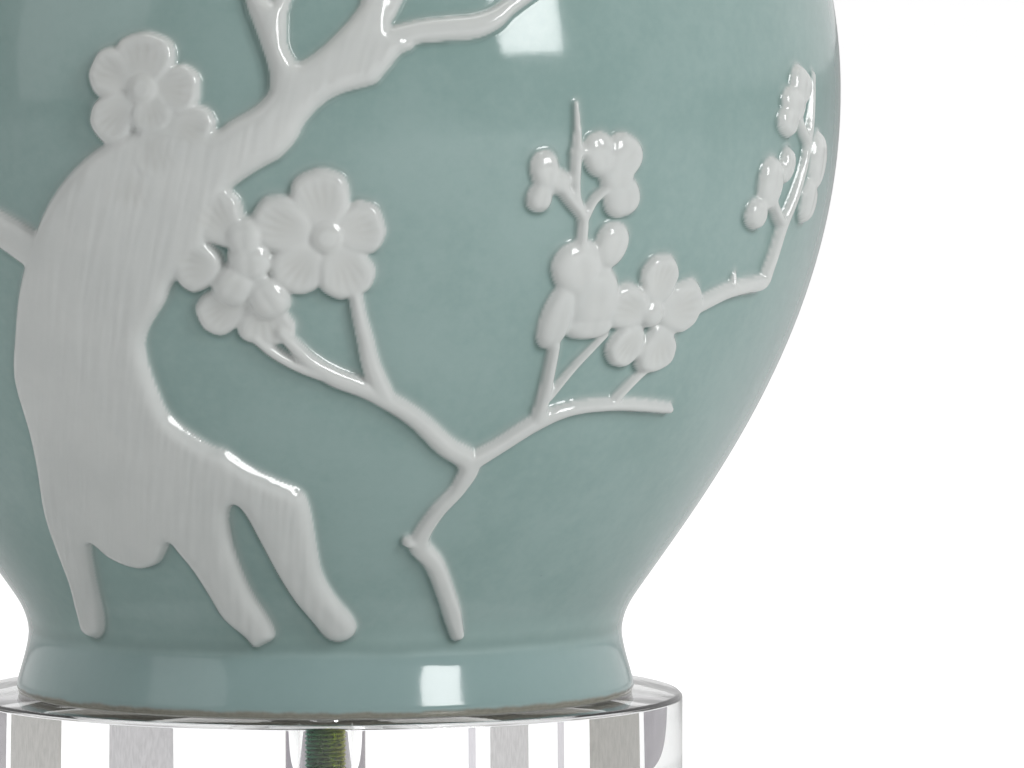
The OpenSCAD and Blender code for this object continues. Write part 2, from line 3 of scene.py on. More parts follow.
import bpy
import numpy as np
from bpy.props import FloatProperty, FloatVectorProperty, IntProperty, PointerProperty
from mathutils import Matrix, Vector


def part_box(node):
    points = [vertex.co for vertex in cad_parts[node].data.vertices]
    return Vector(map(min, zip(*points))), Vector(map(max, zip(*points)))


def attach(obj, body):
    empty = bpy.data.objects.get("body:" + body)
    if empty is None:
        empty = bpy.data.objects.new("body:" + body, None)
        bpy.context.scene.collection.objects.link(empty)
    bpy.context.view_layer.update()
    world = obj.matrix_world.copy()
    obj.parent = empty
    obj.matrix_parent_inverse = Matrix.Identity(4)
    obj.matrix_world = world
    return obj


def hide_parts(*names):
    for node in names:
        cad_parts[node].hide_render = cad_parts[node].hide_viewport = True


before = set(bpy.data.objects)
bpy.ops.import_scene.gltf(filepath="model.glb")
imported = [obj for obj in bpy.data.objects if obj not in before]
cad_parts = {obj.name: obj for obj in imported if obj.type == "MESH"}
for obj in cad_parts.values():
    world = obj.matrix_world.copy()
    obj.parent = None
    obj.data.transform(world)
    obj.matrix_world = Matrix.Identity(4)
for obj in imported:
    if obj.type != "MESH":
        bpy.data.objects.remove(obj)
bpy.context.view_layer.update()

bl_info = {
    "name": "Blossom Jar Table Lamp",
    "version": (1, 0, 0),
    "blender": (4, 5, 0),
    "location": "View3D > Sidebar > Lamp",
    "description": "Builds a celadon jar table lamp round its CAD frame",
    "category": "Add Mesh",
}

# the CAD's flat materials step aside, so that the lamp's own can have the plain names
for plain in list(bpy.data.materials):
    plain.name = "cad_" + plain.name
MM = 0.001
TURN = 2 * math.pi


def corner(node, which, axis):
    """Millimetres: one coordinate of a CAD node's lowest (0) or highest (1) corner."""
    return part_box(node)[which][axis] / MM


GASKET = 1.5          # between the jar's lip and the brass cap
HARP_WIRE = 2.0       # half the harp wire's thickness
HUB_RISE = 4.3        # from the harp's top to the shade's hub
BASE_BORE = 6.35      # half the hole through the clear base
PIPE_BORE = 5.05      # half the hole of what screws on the lamp pipe

# Heights in millimetres, read from the CAD frame.
FOOT_Z = corner("ceramic_body", 0, 2)
JAR_TOP = corner("ceramic_body", 1, 2)
BUMPER_H = corner("bumper_front_left", 1, 2)
CAP_Z = JAR_TOP + GASKET
SPACER_Z = corner("neck_spacer", 0, 2)
SADDLE_Z = corner("harp_saddle", 0, 2)
NUT_Z = corner("saddle_nut", 0, 2)
SOCK_Z = corner("socket_cap", 0, 2)
SHELL_Z = corner("socket_shell", 0, 2)
SWITCH_Z = (corner("switch_knob", 0, 2) + corner("switch_knob", 1, 2)) / 2
BULB_Z = corner("bulb_contact", 0, 2)
PRONG_TOP = corner("harp_saddle", 1, 2)
HARP_Z = corner("harp_wire", 0, 2)
HARP_TOP = corner("harp_wire", 1, 2) - HARP_WIRE
HUB_Z = HARP_TOP + HUB_RISE
SHADE_TOP = corner("shade_cover", 1, 2)
SHADE_BOTTOM = corner("shade_cover", 0, 2)
FINIAL_Z = corner("finial_base", 0, 2)


# ---------------------------------------------------------------- settings

def color_setting(label, text, value):
    return FloatVectorProperty(name=label, description=text, default=value, size=3,
                               subtype="COLOR", min=0.0, max=1.0)


def length_setting(label, text, value, low, high):
    return FloatProperty(name=label, description=text, default=value, min=low, max=high,
                         unit="LENGTH")


def power_setting(label, text, value):
    return FloatProperty(name=label, description=text, default=value, min=0.0, unit="POWER")


def glow_setting(label, text, value):
    return FloatProperty(name=label, description=text, default=value, min=0.0, max=2.0)


class LampStage(bpy.types.PropertyGroup):
    floor_radius: length_setting("Floor radius", "Size of the pale floor disc", 40.0, 2.0, 100.0)
    floor_glow: glow_setting("Floor glow", "Light the white floor gives off by itself", 0.62)
    key_power: power_setting("Key light", "Power of the tall soft box at the right", 11.4)
    fill_power: power_setting("Fill light", "Power of the large dim panel at the left", 4.0)
    top_power: power_setting("Top light", "Power of the panel overhead", 20.0)
    world_front: glow_setting("Room", "Brightness of the room in front of the lamp", 0.30)
    world_back: glow_setting("Backdrop", "Brightness of the white backdrop behind it", 0.95)


class LampJar(bpy.types.PropertyGroup):
    glaze: color_setting("Glaze", "Colour of the celadon glaze", (0.252, 0.372, 0.352))
    glaze_thin: color_setting(
        "Thin glaze", "Colour of the celadon glaze where it is thinner", (0.300, 0.420, 0.402))
    # the relief's white also paints a highlight on its edges that face the light
    slip: color_setting(
        "Slip", "Colour of the white applied relief under clear glaze", (0.615, 0.640, 0.626))
    # the pooled glaze colour also paints shade on the relief's edges that face away from the light
    pool: color_setting(
        "Pooled glaze", "Colour of the glaze that has run against an edge", (0.105, 0.190, 0.172))
    foot_line: color_setting(
        "Foot line", "Colour of the bare line at the foot's lower edge", (0.195, 0.180, 0.140))
    segments: IntProperty(
        name="Segments", description="Steps round the jar", default=288, min=96, max=360)
    row: length_setting("Row spacing", "Distance between rings up the jar", 0.0022, 0.001, 0.01)


class LampRelief(bpy.types.PropertyGroup):
    cell: length_setting(
        "Front cell", "Mesh cell of the relief on the front", 0.00045, 0.0003, 0.002)
    back_cell: length_setting(
        "Back cell", "Mesh cell of the relief on the back", 0.00062, 0.0003, 0.002)
    trunk: length_setting("Trunk relief", "How far the trunk stands out", 0.0031, 0.001, 0.006)
    branch: length_setting(
        "Branch relief", "How far the branches stand out", 0.0024, 0.001, 0.006)
    petal: length_setting("Petal relief", "How far the petals stand out", 0.0027, 0.001, 0.006)
    skirt: length_setting(
        "Glaze skirt", "Width of the glaze skin round the relief", 0.0026, 0.001, 0.005)


class LampBase(bpy.types.PropertyGroup):
    clear: color_setting("Clear acrylic", "Tint of the clear acrylic", (0.985, 0.992, 0.990))
    zinc: color_setting("Zinc plate", "Main colour of the yellow zinc plating", (0.62, 0.50, 0.17))
    pitch: length_setting(
        "Thread pitch", "Pitch of the lamp pipe's thread", 0.00094, 0.0005, 0.002)


class LampFittings(bpy.types.PropertyGroup):
    brass: color_setting("Brass", "Colour of the polished brass", (0.78, 0.58, 0.27))
    nickel: color_setting("Nickel", "Colour of the nickel plating", (0.62, 0.60, 0.56))
    opal: color_setting("Frosted glass", "Colour of the bulb's frosted glass", (0.88, 0.88, 0.86))


class LampShade(bpy.types.PropertyGroup):
    linen: color_setting("Linen", "Colour of the linen cloth", (0.81, 0.78, 0.71))
    trim: color_setting(
        "Trim", "Colour of the folded linen tape at the shade's edges", (0.77, 0.735, 0.655))
    thread: length_setting(
        "Thread spacing", "Distance between the linen's threads", 0.0009, 0.0004, 0.003)
    seam: length_setting(
        "Seam", "Width of the overlapped seam at the back", 0.010, 0.004, 0.03)


# ---------------------------------------------------------------- materials

class Graph:
    """Wires one node material."""

    def __init__(self, name):
        self.material = bpy.data.materials.new(name)
        self.material.use_nodes = True
        self.tree = self.material.node_tree
        self.tree.nodes.clear()

    def feed(self, node, key, value):
        socket = node.inputs[key]
        if isinstance(value, bpy.types.NodeSocket):
            self.tree.links.new(value, socket)
        elif isinstance(value, bpy.types.Node):
            self.tree.links.new(value.outputs[0], socket)
        elif socket.type == "RGBA":
            socket.default_value = (*list(value)[:3], 1.0)
        else:
            socket.default_value = value

    def node(self, kind, sockets, **settings):
        made = self.tree.nodes.new("ShaderNode" + kind)
        for key, value in settings.items():
            setattr(made, key, value)
        for key, value in sockets.items():
            self.feed(made, key, value)
        return made

    def where(self, scale=(1, 1, 1), uv=False):
        """Object (or UV) coordinates in metres, stretched by scale."""
        source = self.node("TexCoord", {}).outputs["UV" if uv else "Object"]
        return self.node("Mapping", {"Vector": source, "Scale": scale}).outputs[0]

    def noise(self, scale, detail=3.0, rough=0.55, stretch=(1, 1, 1), uv=False):
        return self.node("TexNoise", {"Vector": self.where(stretch, uv), "Scale": scale,
                                      "Detail": detail, "Roughness": rough}).outputs[0]

    def read(self, name):
        """A value kept on the mesh's points; nought where the mesh has none."""
        return self.node("Attribute", {}, attribute_name=name).outputs["Fac"]

    def axis(self, letter):
        return self.node("SeparateXYZ", {0: self.where()}).outputs[letter]

    def calc(self, operation, *values):
        return self.node("Math", dict(enumerate(values)), operation=operation).outputs[0]

    def plus(self, a, b):
        return self.calc("ADD", a, b)

    def times(self, a, b):
        return self.calc("MULTIPLY", a, b)

    def span(self, value, low, high, to_low=0.0, to_high=1.0):
        """Value carried softly from low..high to to_low..to_high, held at the ends."""
        return self.node("MapRange", {"Value": value, "From Min": low, "From Max": high,
                                      "To Min": to_low, "To Max": to_high},
                         interpolation_type="SMOOTHSTEP", clamp=True).outputs[0]

    def mix(self, amount, a, b):
        return self.node("Mix", {0: amount, 6: a, 7: b}, data_type="RGBA").outputs[2]

    def bump(self, height, strength, distance, under=None):
        sockets = {"Height": height, "Strength": strength, "Distance": distance}
        if under is not None:
            sockets["Normal"] = under
        return self.node("Bump", sockets).outputs[0]

    def principled(self, **values):
        names = {"color": "Base Color", "rough": "Roughness", "metal": "Metallic",
                 "ior": "IOR", "normal": "Normal", "through": "Transmission Weight",
                 "coat": "Coat Weight", "coat_rough": "Coat Roughness", "sheen": "Sheen Weight",
                 "specular": "Specular IOR Level", "subsurface": "Subsurface Weight",
                 "glow": "Emission Strength", "glow_color": "Emission Color",
                 "radius": "Subsurface Radius", "depth": "Subsurface Scale"}
        shader = self.node("BsdfPrincipled", {names[k]: v for k, v in values.items()})
        self.node("OutputMaterial", {"Surface": shader})
        return self.material


def celadon_material(jar):
    """One glaze for the jar and its relief, so that neither shows where the other starts."""
    g = Graph("celadon_glaze")
    height = g.calc("SUBTRACT", g.axis("Z"), FOOT_Z * MM)
    mottle, cloud, fine = g.noise(38, 4.0, 0.6), g.noise(9, 2.0, 0.5), g.noise(420, 3.0, 0.6)
    tone = g.plus(g.times(mottle, 0.55), g.plus(g.times(cloud, 0.3), g.times(fine, 0.22)))
    glaze = g.mix(g.span(tone, 0.36, 0.70), jar.glaze, jar.glaze_thin)
    # the foot's glaze is thinner and bluer
    foot = g.span(g.plus(height, g.times(g.noise(60, 2.0), 0.004)), 0.0140, 0.0195, 1.0, 0.0)
    glaze = g.mix(g.times(foot, 0.55), glaze, (0.300, 0.425, 0.425))
    # a slightly deeper line where foot and body meet
    crease = g.calc("SUBTRACT", height, g.times(g.noise(45, 2.0, 0.5, (1, 1, 0.1)), 0.003))
    line = g.times(g.span(crease, 0.0125, 0.0145), g.span(crease, 0.0145, 0.0175, 1.0, 0.0))
    glaze = g.mix(g.times(line, 0.32), glaze, jar.pool)
    # glaze that has run and gathered against the relief, and painted shade: the mark is laid mostly on
    # the relief's edges that face away from the light
    pool = g.times(g.read("pool"), g.span(g.noise(120, 2.0), 0.25, 0.65, 0.55, 1.0))
    glaze = g.mix(pool, glaze, jar.pool)
    # iron specks
    specks = g.node("TexVoronoi", {"Vector": g.where(), "Scale": 58.0, "Randomness": 1.0})
    lot = g.node("SeparateColor", {0: specks.outputs["Color"]}).outputs[0]
    dot = g.times(g.span(specks.outputs["Distance"], 0.012, 0.030, 1.0, 0.0),
                  g.span(lot, 0.80, 0.82))
    glaze = g.mix(g.times(dot, 0.55), glaze, (0.07, 0.11, 0.09))
    # white slip of the relief, faintly green where the clear glaze lies thick
    white = g.mix(g.span(g.noise(55, 4.0, 0.6), 0.3, 0.7), jar.slip, (0.655, 0.677, 0.661))
    # painted shade: grey in the petals' dishes, the buds' middles and the buttons' grooves
    white = g.mix(g.times(g.read("hollow"), 0.40), white, (0.480, 0.487, 0.455))
    # the relief mask also holds a painted highlight: a pale fringe on the edges that face the light
    color = g.mix(g.read("slip"), glaze, white)
    # bare, browned line at the very bottom of the foot
    bare = g.plus(height, g.times(g.noise(150, 3.0), 0.0016))
    color = g.mix(g.span(bare, 0.0021, 0.0032, 0.92, 0.0), color,
                  g.mix(g.noise(700, 2.0), jar.foot_line, (0.33, 0.31, 0.25)))
    rough = g.plus(g.span(g.noise(30, 3.0), 0.3, 0.7, 0.07, 0.13),
                   g.span(bare, 0.0014, 0.0022, 0.35, 0.0))
    waves = g.bump(g.noise(70, 2.0, 0.5), 0.10, 0.0012)
    skin = g.bump(g.noise(520, 2.0, 0.5), 0.05, 0.0003, waves)
    return g.principled(color=color, rough=rough, ior=1.52, normal=skin, specular=0.5,
                        coat=0.25, coat_rough=0.03)


def acrylic_material(base):
    g = Graph("clear_acrylic")
    haze = g.span(g.noise(1400, 2.0, 0.6, (1, 1, 6)), 0.60, 0.85, 0.0, 0.03)
    tint = g.mix(g.noise(14, 2.0), base.clear, (1.0, 1.0, 1.0))
    ripple = g.bump(g.noise(22, 1.0, 0.4, (1, 1, 0.25)), 0.08, 0.0012)
    return g.principled(color=tint, rough=haze, ior=1.49, through=1.0, normal=ripple)


def zinc_material(base):
    """Yellow zinc plating: teal on one side, gold on the other, with darker flecks; the split by side
    is a painted iridescent sheen.
    """
    g = Graph("yellow_zinc")
    drift = g.noise(70, 3.0, 0.6, (1, 1, 0.35))
    # painted sheen: the left half of the rod is teal and the right half gold, as its iridescence shows
    # from the front
    side = g.span(g.axis("X"), -0.005, 0.005)
    color = g.mix(side, (0.012, 0.19, 0.12), (0.27, 0.29, 0.012))
    color = g.mix(g.span(drift, 0.45, 0.80, 0.0, 0.4), color, base.zinc)
    color = g.mix(g.span(g.noise(900, 2.0), 0.50, 0.70, 0.0, 0.7), color, (0.02, 0.07, 0.01))
    rough = g.span(g.noise(600, 2.0), 0.3, 0.7, 0.22, 0.42)
    return g.principled(color=color, rough=rough, metal=1.0,
                        normal=g.bump(g.noise(1500, 2.0), 0.10, 0.0002))


def metal_material(name, color, worn):
    """A lacquered or plated metal with faint turning lines, tarnish and handling marks."""
    g = Graph(name)
    tarnish = g.span(g.noise(48, 5.0, 0.65), 0.42, 0.72)
    lines = g.noise(330, 3.0, 0.6, (1, 1, 9))
    tone = g.mix(g.times(tarnish, 0.55), color, worn)
    tone = g.mix(g.span(lines, 0.35, 0.75, 0.0, 0.25), tone, [c * 0.72 for c in color])
    gloss = g.plus(g.span(lines, 0.3, 0.7, 0.14, 0.30), g.times(tarnish, 0.10))
    skin = g.bump(lines, 0.06, 0.0002, g.bump(g.noise(90, 2.0), 0.05, 0.0006))
    return g.principled(color=tone, rough=gloss, metal=1.0, normal=skin)


def dull_material(name, color, other, rough=(0.45, 0.65), scale=220, depth=0.0003,
                  stretch=(1, 1, 1)):
    """Rubber, moulded plastic, fibre and the like: two close tones with a fine skin."""
    g = Graph(name)
    fine = g.noise(scale, 4.0, 0.6, stretch)
    broad = g.noise(scale / 9, 2.0)
    tone = g.plus(g.times(fine, 0.6), g.times(broad, 0.4))
    return g.principled(color=g.mix(g.span(tone, 0.35, 0.68), color, other),
                        rough=g.span(fine, 0.3, 0.7, rough[0], rough[1]), ior=1.5,
                        specular=0.5, normal=g.bump(fine, 0.25, depth))


def bumper_material():
    g = Graph("clear_rubber")
    dust = g.noise(500, 3.0)
    return g.principled(color=g.mix(dust, (0.86, 0.87, 0.86), (0.74, 0.75, 0.73)),
                        rough=g.span(dust, 0.3, 0.7, 0.18, 0.35), ior=1.5, through=0.75,
                        normal=g.bump(dust, 0.1, 0.0002))


def bulb_material(fittings):
    g = Graph("frosted_glass")
    frost = g.noise(700, 3.0)
    tone = g.mix(g.span(g.noise(40, 2.0), 0.35, 0.65), fittings.opal, (0.80, 0.80, 0.775))
    return g.principled(color=tone, rough=g.span(frost, 0.3, 0.7, 0.24, 0.36), ior=1.5,
                        subsurface=0.3, radius=(0.01, 0.01, 0.009), depth=0.4, coat=0.3,
                        coat_rough=0.12, normal=g.bump(frost, 0.12, 0.0002))


def linen_material(name, base, thread):
    """Plain weave on the cloth's own UV map, in metres: u along the hem, v up the slant."""
    g = Graph(name)
    flat = g.node("SeparateXYZ", {0: g.where(uv=True)})
    wander = g.times(g.calc("SUBTRACT", g.noise(60, 2.0, uv=True), 0.5), thread * 0.9)
    warp, weft = (g.calc("SINE", g.times(g.plus(flat.outputs[k], wander), math.pi / thread))
                  for k in (0, 1))
    slub_u = g.noise(820, 3.0, 0.55, (1, 0.007, 1), uv=True)
    slub_v = g.noise(820, 3.0, 0.55, (0.007, 1, 1), uv=True)
    warp_up = g.times(g.calc("ABSOLUTE", warp), g.span(slub_u, 0.2, 0.8, 0.55, 1.0))
    weft_up = g.times(g.calc("ABSOLUTE", weft), g.span(slub_v, 0.2, 0.8, 0.55, 1.0))
    over = g.span(g.times(warp, weft), -0.35, 0.35)
    cloth = g.node("Mix", {0: over, 2: warp_up, 3: weft_up}, data_type="FLOAT").outputs[0]
    slubs = g.span(g.plus(g.times(slub_u, 0.5), g.times(slub_v, 0.5)), 0.38, 0.64)
    tone = g.mix(slubs, [c * 0.91 for c in base], [min(c * 1.05, 1.0) for c in base])
    # painted shade: the weave is darker where its threads dip
    tone = g.mix(g.span(cloth, 0.1, 0.6, 0.45, 0.0), tone, [c * 0.62 for c in base])
    tone = g.mix(g.span(g.noise(6, 3.0, uv=True), 0.35, 0.7, 0.0, 0.10), tone,
                 (base[0] * 0.9, base[1] * 0.88, base[2] * 0.8))
    return g.principled(color=tone, rough=g.span(cloth, 0.0, 1.0, 0.95, 0.82), sheen=0.12,
                        specular=0.2, normal=g.bump(cloth, 0.55, 0.00035))


def liner_material():
    g = Graph("styrene")
    fine = g.noise(160, 3.0)
    tone = g.mix(g.span(g.noise(12, 3.0), 0.35, 0.65), (0.86, 0.85, 0.81), (0.81, 0.80, 0.755))
    return g.principled(color=tone, rough=g.span(fine, 0.3, 0.7, 0.38, 0.52), subsurface=0.15,
                        radius=(0.002, 0.002, 0.002), depth=0.5,
                        normal=g.bump(fine, 0.12, 0.0003))


def card_material(grey):
    g = Graph("painted_band_card")
    tone = g.mix(g.span(g.noise(30, 2.0, 0.5, (1, 1, 0.1)), 0.3, 0.7),
                 [c * 0.85 for c in grey], grey)
    # the card glows its grey, a painted dark band seen only through the clear base
    return g.principled(color=(0.0, 0.0, 0.0), rough=g.span(g.noise(9), 0.3, 0.7, 0.8, 0.9),
                        specular=0.0, glow=1.0, glow_color=tone)


def floor_material(stage):
    """Pale floor that glows to the camera, and by place to what looks through the base."""
    g = Graph("floor")
    tone = g.mix(g.noise(3, 2.0), (0.70, 0.70, 0.70), (0.73, 0.73, 0.73))
    path = g.node("LightPath", {}).outputs
    out = g.node("VectorMath", {0: g.where()}, operation="LENGTH").outputs["Value"]
    bright = g.calc("MAXIMUM", g.span(g.axis("Y"), -0.12, 0.12, 0.32, 0.95),
                    g.span(out, 0.088, 0.12, 0.80, 0.0))
    seen = g.calc("MAXIMUM", path["Is Camera Ray"],
                  g.times(path["Is Transmission Ray"], bright))
    return g.principled(color=tone, rough=g.span(g.noise(12, 2.0), 0.3, 0.7, 0.6, 0.75),
                        specular=0.1, glow=g.times(seen, stage.floor_glow),
                        glow_color=(1.0, 1.0, 1.0))


# ---------------------------------------------------------------- modelling helpers

def clear_selection():
    if bpy.context.object and bpy.context.object.mode != "OBJECT":
        bpy.ops.object.mode_set(mode="OBJECT")
    bpy.ops.object.select_all(action="DESELECT")


def pick(piece):
    clear_selection()
    piece.select_set(True)
    bpy.context.view_layer.objects.active = piece
    return piece


def apply_all(piece):
    """Applies every modifier of a piece in order."""
    pick(piece)
    for modifier in list(piece.modifiers):
        bpy.ops.object.modifier_apply(modifier=modifier.name)
    return piece


def settle(piece):
    """Puts a piece's place, turn and size into its mesh."""
    pick(piece)
    bpy.ops.object.transform_apply(location=True, rotation=True, scale=True)
    return piece


def tidy_mesh(piece, weld=1e-6, smooth=38.0):
    pick(piece)
    bpy.ops.object.mode_set(mode="EDIT")
    bpy.ops.mesh.select_all(action="SELECT")
    bpy.ops.mesh.remove_doubles(threshold=weld)
    bpy.ops.mesh.normals_make_consistent(inside=False)
    bpy.ops.object.mode_set(mode="OBJECT")
    bpy.ops.object.shade_smooth_by_angle(angle=math.radians(smooth))
    return piece


def finish(piece, body, slot, look, *nodes):
    """Gives a piece its body and material, and hides the CAD nodes that it stands for; the slot is not
    used.
    """
    piece.data.materials.clear()
    piece.data.materials.append(look)
    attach(piece, body)
    if nodes:
        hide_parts(*nodes)


def eased(profile, radius, sharp=18.0):
    """Rounds a profile's corners off: points are (radius, height) in millimetres."""
    out = []
    last = len(profile) - 1
    for i, p in enumerate(profile):
        if i in (0, last):
            out.append(p)
            continue
        a, b, c = (np.array(profile[k], float) for k in (i - 1, i, i + 1))
        la, lc = np.linalg.norm(a - b), np.linalg.norm(c - b)
        if la < 1e-6 or lc < 1e-6:
            out.append(p)
            continue
        bend = math.degrees(math.acos(max(-1, min(1, float((b - a) @ (c - b)) / (la * lc)))))
        if bend < sharp:
            out.append(p)
            continue
        cut = min(radius, 0.45 * la, 0.45 * lc)
        start, end = b + (a - b) / la * cut, b + (c - b) / lc * cut
        for t in (0, 0.25, 0.5, 0.75, 1):
            out.append(tuple((1 - t) ** 2 * start + 2 * t * (1 - t) * b + t * t * end))
    return out


def bezier(a, b, c, d, n, skip=0):
    """Points of one cubic curve, as the CAD draws its outlines."""
    points = []
    for i in range(skip, n + 1):
        t = i / n
        u = 1 - t
        points.append(tuple(u ** 3 * p + 3 * u * u * t * q + 3 * u * t * t * r + t ** 3 * s
                            for p, q, r, s in zip(a, b, c, d)))
    return points


def lone_vertex(name, x, y, z):
    """A new mesh of one vertex (mm), left in edit mode and ready to be drawn out."""
    clear_selection()
    bpy.ops.mesh.primitive_plane_add(size=0.01, location=(0, 0, 0))
    piece = bpy.context.object
    piece.name = piece.data.name = name
    bpy.ops.object.mode_set(mode="EDIT")
    bpy.ops.mesh.select_all(action="SELECT")
    bpy.ops.mesh.merge(type="CENTER")
    bpy.ops.transform.translate(value=(x * MM, y * MM, z * MM))
    return piece


def draw_out(step):
    """Extrudes what is selected by a step in metres."""
    bpy.ops.mesh.extrude_region_move(TRANSFORM_OT_translate={"value": step})


def lathe(name, profile, steps=96, smooth=38.0, at=(0, 0)):
    """Draws a profile (radius, height, mm) edge by edge from one vertex, then spins it."""
    places = [Vector((radius * MM, 0, height * MM)) for radius, height in profile]
    piece = lone_vertex(name, profile[0][0], 0, profile[0][1])
    for here, there in zip(places[:-1], places[1:]):
        if (there - here).length > 1e-8:
            draw_out(there - here)
    bpy.ops.mesh.select_all(action="SELECT")
    bpy.ops.mesh.remove_doubles(threshold=1e-7)
    bpy.ops.mesh.spin(steps=steps, angle=TURN, center=(0, 0, 0), axis=(0, 0, 1),
                      use_auto_merge=True)
    bpy.ops.object.mode_set(mode="OBJECT")
    tidy_mesh(piece, smooth=smooth)
    if at != (0, 0):
        piece.location = (at[0] * MM, at[1] * MM, 0)
        settle(piece)
    return piece


def loop(profile):
    """A profile that ends where it starts."""
    return list(profile) + [profile[0]]


def cut_with(piece, tool, operation="DIFFERENCE"):
    """Boolean with a second mesh, which is used up."""
    modifier = piece.modifiers.new("cut", "BOOLEAN")
    modifier.object, modifier.operation, modifier.solver = tool, operation, "EXACT"
    apply_all(piece)
    data = tool.data
    bpy.data.objects.remove(tool)
    bpy.data.meshes.remove(data)
    return piece


def drill(radius, start, end, sides=48):
    """A round cutting tool between two points, in millimetres."""
    a, b = Vector(start) * MM, Vector(end) * MM
    clear_selection()
    bpy.ops.mesh.primitive_cylinder_add(vertices=sides, radius=radius * MM,
                                        depth=(b - a).length, location=(a + b) / 2)
    tool = bpy.context.object
    tool.rotation_mode = "QUATERNION"
    tool.rotation_quaternion = (b - a).to_track_quat("Z", "Y")
    return settle(tool)


def join(pieces, name):
    pick(pieces[0])
    for piece in pieces[1:]:
        piece.select_set(True)
    bpy.ops.object.join()
    made = bpy.context.object
    made.name = made.data.name = name
    return made


def rod_along(name, points, radius, sides=6, closed=False):
    """Round wire along points (mm): a curve with a bevel, turned into a closed mesh."""
    clear_selection()
    bpy.ops.curve.primitive_nurbs_path_add(location=(0, 0, 0))
    piece = bpy.context.object
    curve = piece.data
    curve.splines.clear()
    spline = curve.splines.new("POLY")
    spline.points.add(len(points) - 1)
    for point, place in zip(spline.points, points):
        point.co = (*(Vector(place) * MM), 1.0)
    spline.use_cyclic_u = closed
    curve.bevel_depth = radius * MM
    curve.bevel_resolution = sides
    curve.use_fill_caps = not closed
    curve.resolution_u = 1
    bpy.ops.object.convert(target="MESH")
    piece = bpy.context.object
    piece.name = piece.data.name = name
    return tidy_mesh(piece, smooth=50)


def threaded(name, low, high, crest, root, pitch, steps, bore):
    """A bored screw thread (mm): one pitch of outline, wound up and cut square."""
    piece = lone_vertex(name, root, 0, low - pitch * 1.5)
    # out to the crest, along it and back to the root, in parts of a pitch
    for out, up in ((1, 0.42), (0, 0.16), (-1, 0.42)):
        draw_out((out * (crest - root) * MM, 0, up * pitch * MM))
    bpy.ops.object.mode_set(mode="OBJECT")
    screw = piece.modifiers.new("thread", "SCREW")
    screw.angle, screw.screw_offset = TURN, pitch * MM
    screw.iterations = int((high - low) / pitch) + 4
    screw.steps = screw.render_steps = steps
    screw.use_merge_vertices, screw.merge_threshold = True, 1e-6
    apply_all(piece)
    tidy_mesh(piece)
    bpy.ops.object.mode_set(mode="EDIT")
    for height, top in ((low, False), (high, True)):
        bpy.ops.mesh.select_all(action="SELECT")
        bpy.ops.mesh.bisect(plane_co=(0, 0, height * MM), plane_no=(0, 0, 1), use_fill=True,
                            clear_inner=not top, clear_outer=top, threshold=1e-7)
    bpy.ops.object.mode_set(mode="OBJECT")
    tidy_mesh(piece, 1e-6, 50)
    cut_with(piece, drill(bore, (0, 0, low - 2), (0, 0, high + 2), 32))
    return tidy_mesh(piece, 1e-7, 50)


def hex_nut(name, across, bore, low, height):
    """Six-sided nut: a drum scaled from a hexagon, bored, with its corners turned off."""
    radius = across / math.sqrt(3)
    clear_selection()
    bpy.ops.mesh.primitive_cylinder_add(vertices=6, radius=radius * MM, depth=height * MM,
                                        location=(0, 0, (low + height / 2) * MM))
    piece = settle(bpy.context.object)
    piece.name = piece.data.name = name
    top, mid = low + height, across / 2
    cone = lathe("nut_cone", [(0, low), (mid + 0.1, low), (radius + 0.3, low + 0.9),
                              (radius + 0.3, top - 0.9), (mid + 0.1, top), (0, top)], 64)
    cut_with(piece, cone, "INTERSECT")
    cut_with(piece, drill(bore, (0, 0, low - 1), (0, 0, top + 1)))
    return tidy_mesh(piece, 1e-7, 30)


def carried(look, *nodes):
    """Better materials for CAD nodes whose shape is right as it is."""
    for node in nodes:
        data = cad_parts[node].data
        data.materials.clear()
        data.materials.append(look)


def material(name):
    made = bpy.data.materials.get(name)
    if made is None:
        raise RuntimeError(f"material {name} has not been made yet")
    return made


# ---------------------------------------------------------------- jar outline

# points of the outline: (radius, height over the foot's edge) in millimetres
WAIST, HIP, BELLY, NECK = (70.2, 14.5), (73.4, 23.5), (121.7, 142), (46, 248)
JAR_WALL = 6.0
INSIDE_TOP, INSIDE_STEP, INSIDE_COUNT = 246, 8.2, 27
BORE_RISE = 8.5       # the cord inlet's middle over the foot's edge


def jar_outside(fine=4):
    """The jar's outer outline from the foot's edge to the lip, (radius, height) in mm."""
    return (bezier((71.2, 0), (72.5, 0), (73.1, 0.8), (73.1, 2), 4)
            + bezier((73.1, 2), (72.2, 6), (70.4, 10.5), WAIST, 3 * fine, 1)
            + bezier(WAIST, (70.2, 17.5), (71.4, 20.5), HIP, 3 * fine, 1)
            + bezier(HIP, (HIP[0] + 15.5, HIP[1] + 22.5), (BELLY[0], BELLY[1] - 55.5), BELLY,
                     32 * fine, 1)
            + bezier(BELLY, (BELLY[0], BELLY[1] + 61), (80, 240), NECK, 32 * fine, 1)
            + bezier(NECK, (44.4, 248.5), (43.8, 250), (44, 253), 4, 1)
            + bezier((44, 253), (44.3, 258), (49, 258), (49, 262.5), 8, 1)
            + bezier((49, 262.5), (49, 266), (47.6, 268), (45.5, 268), 6, 1))


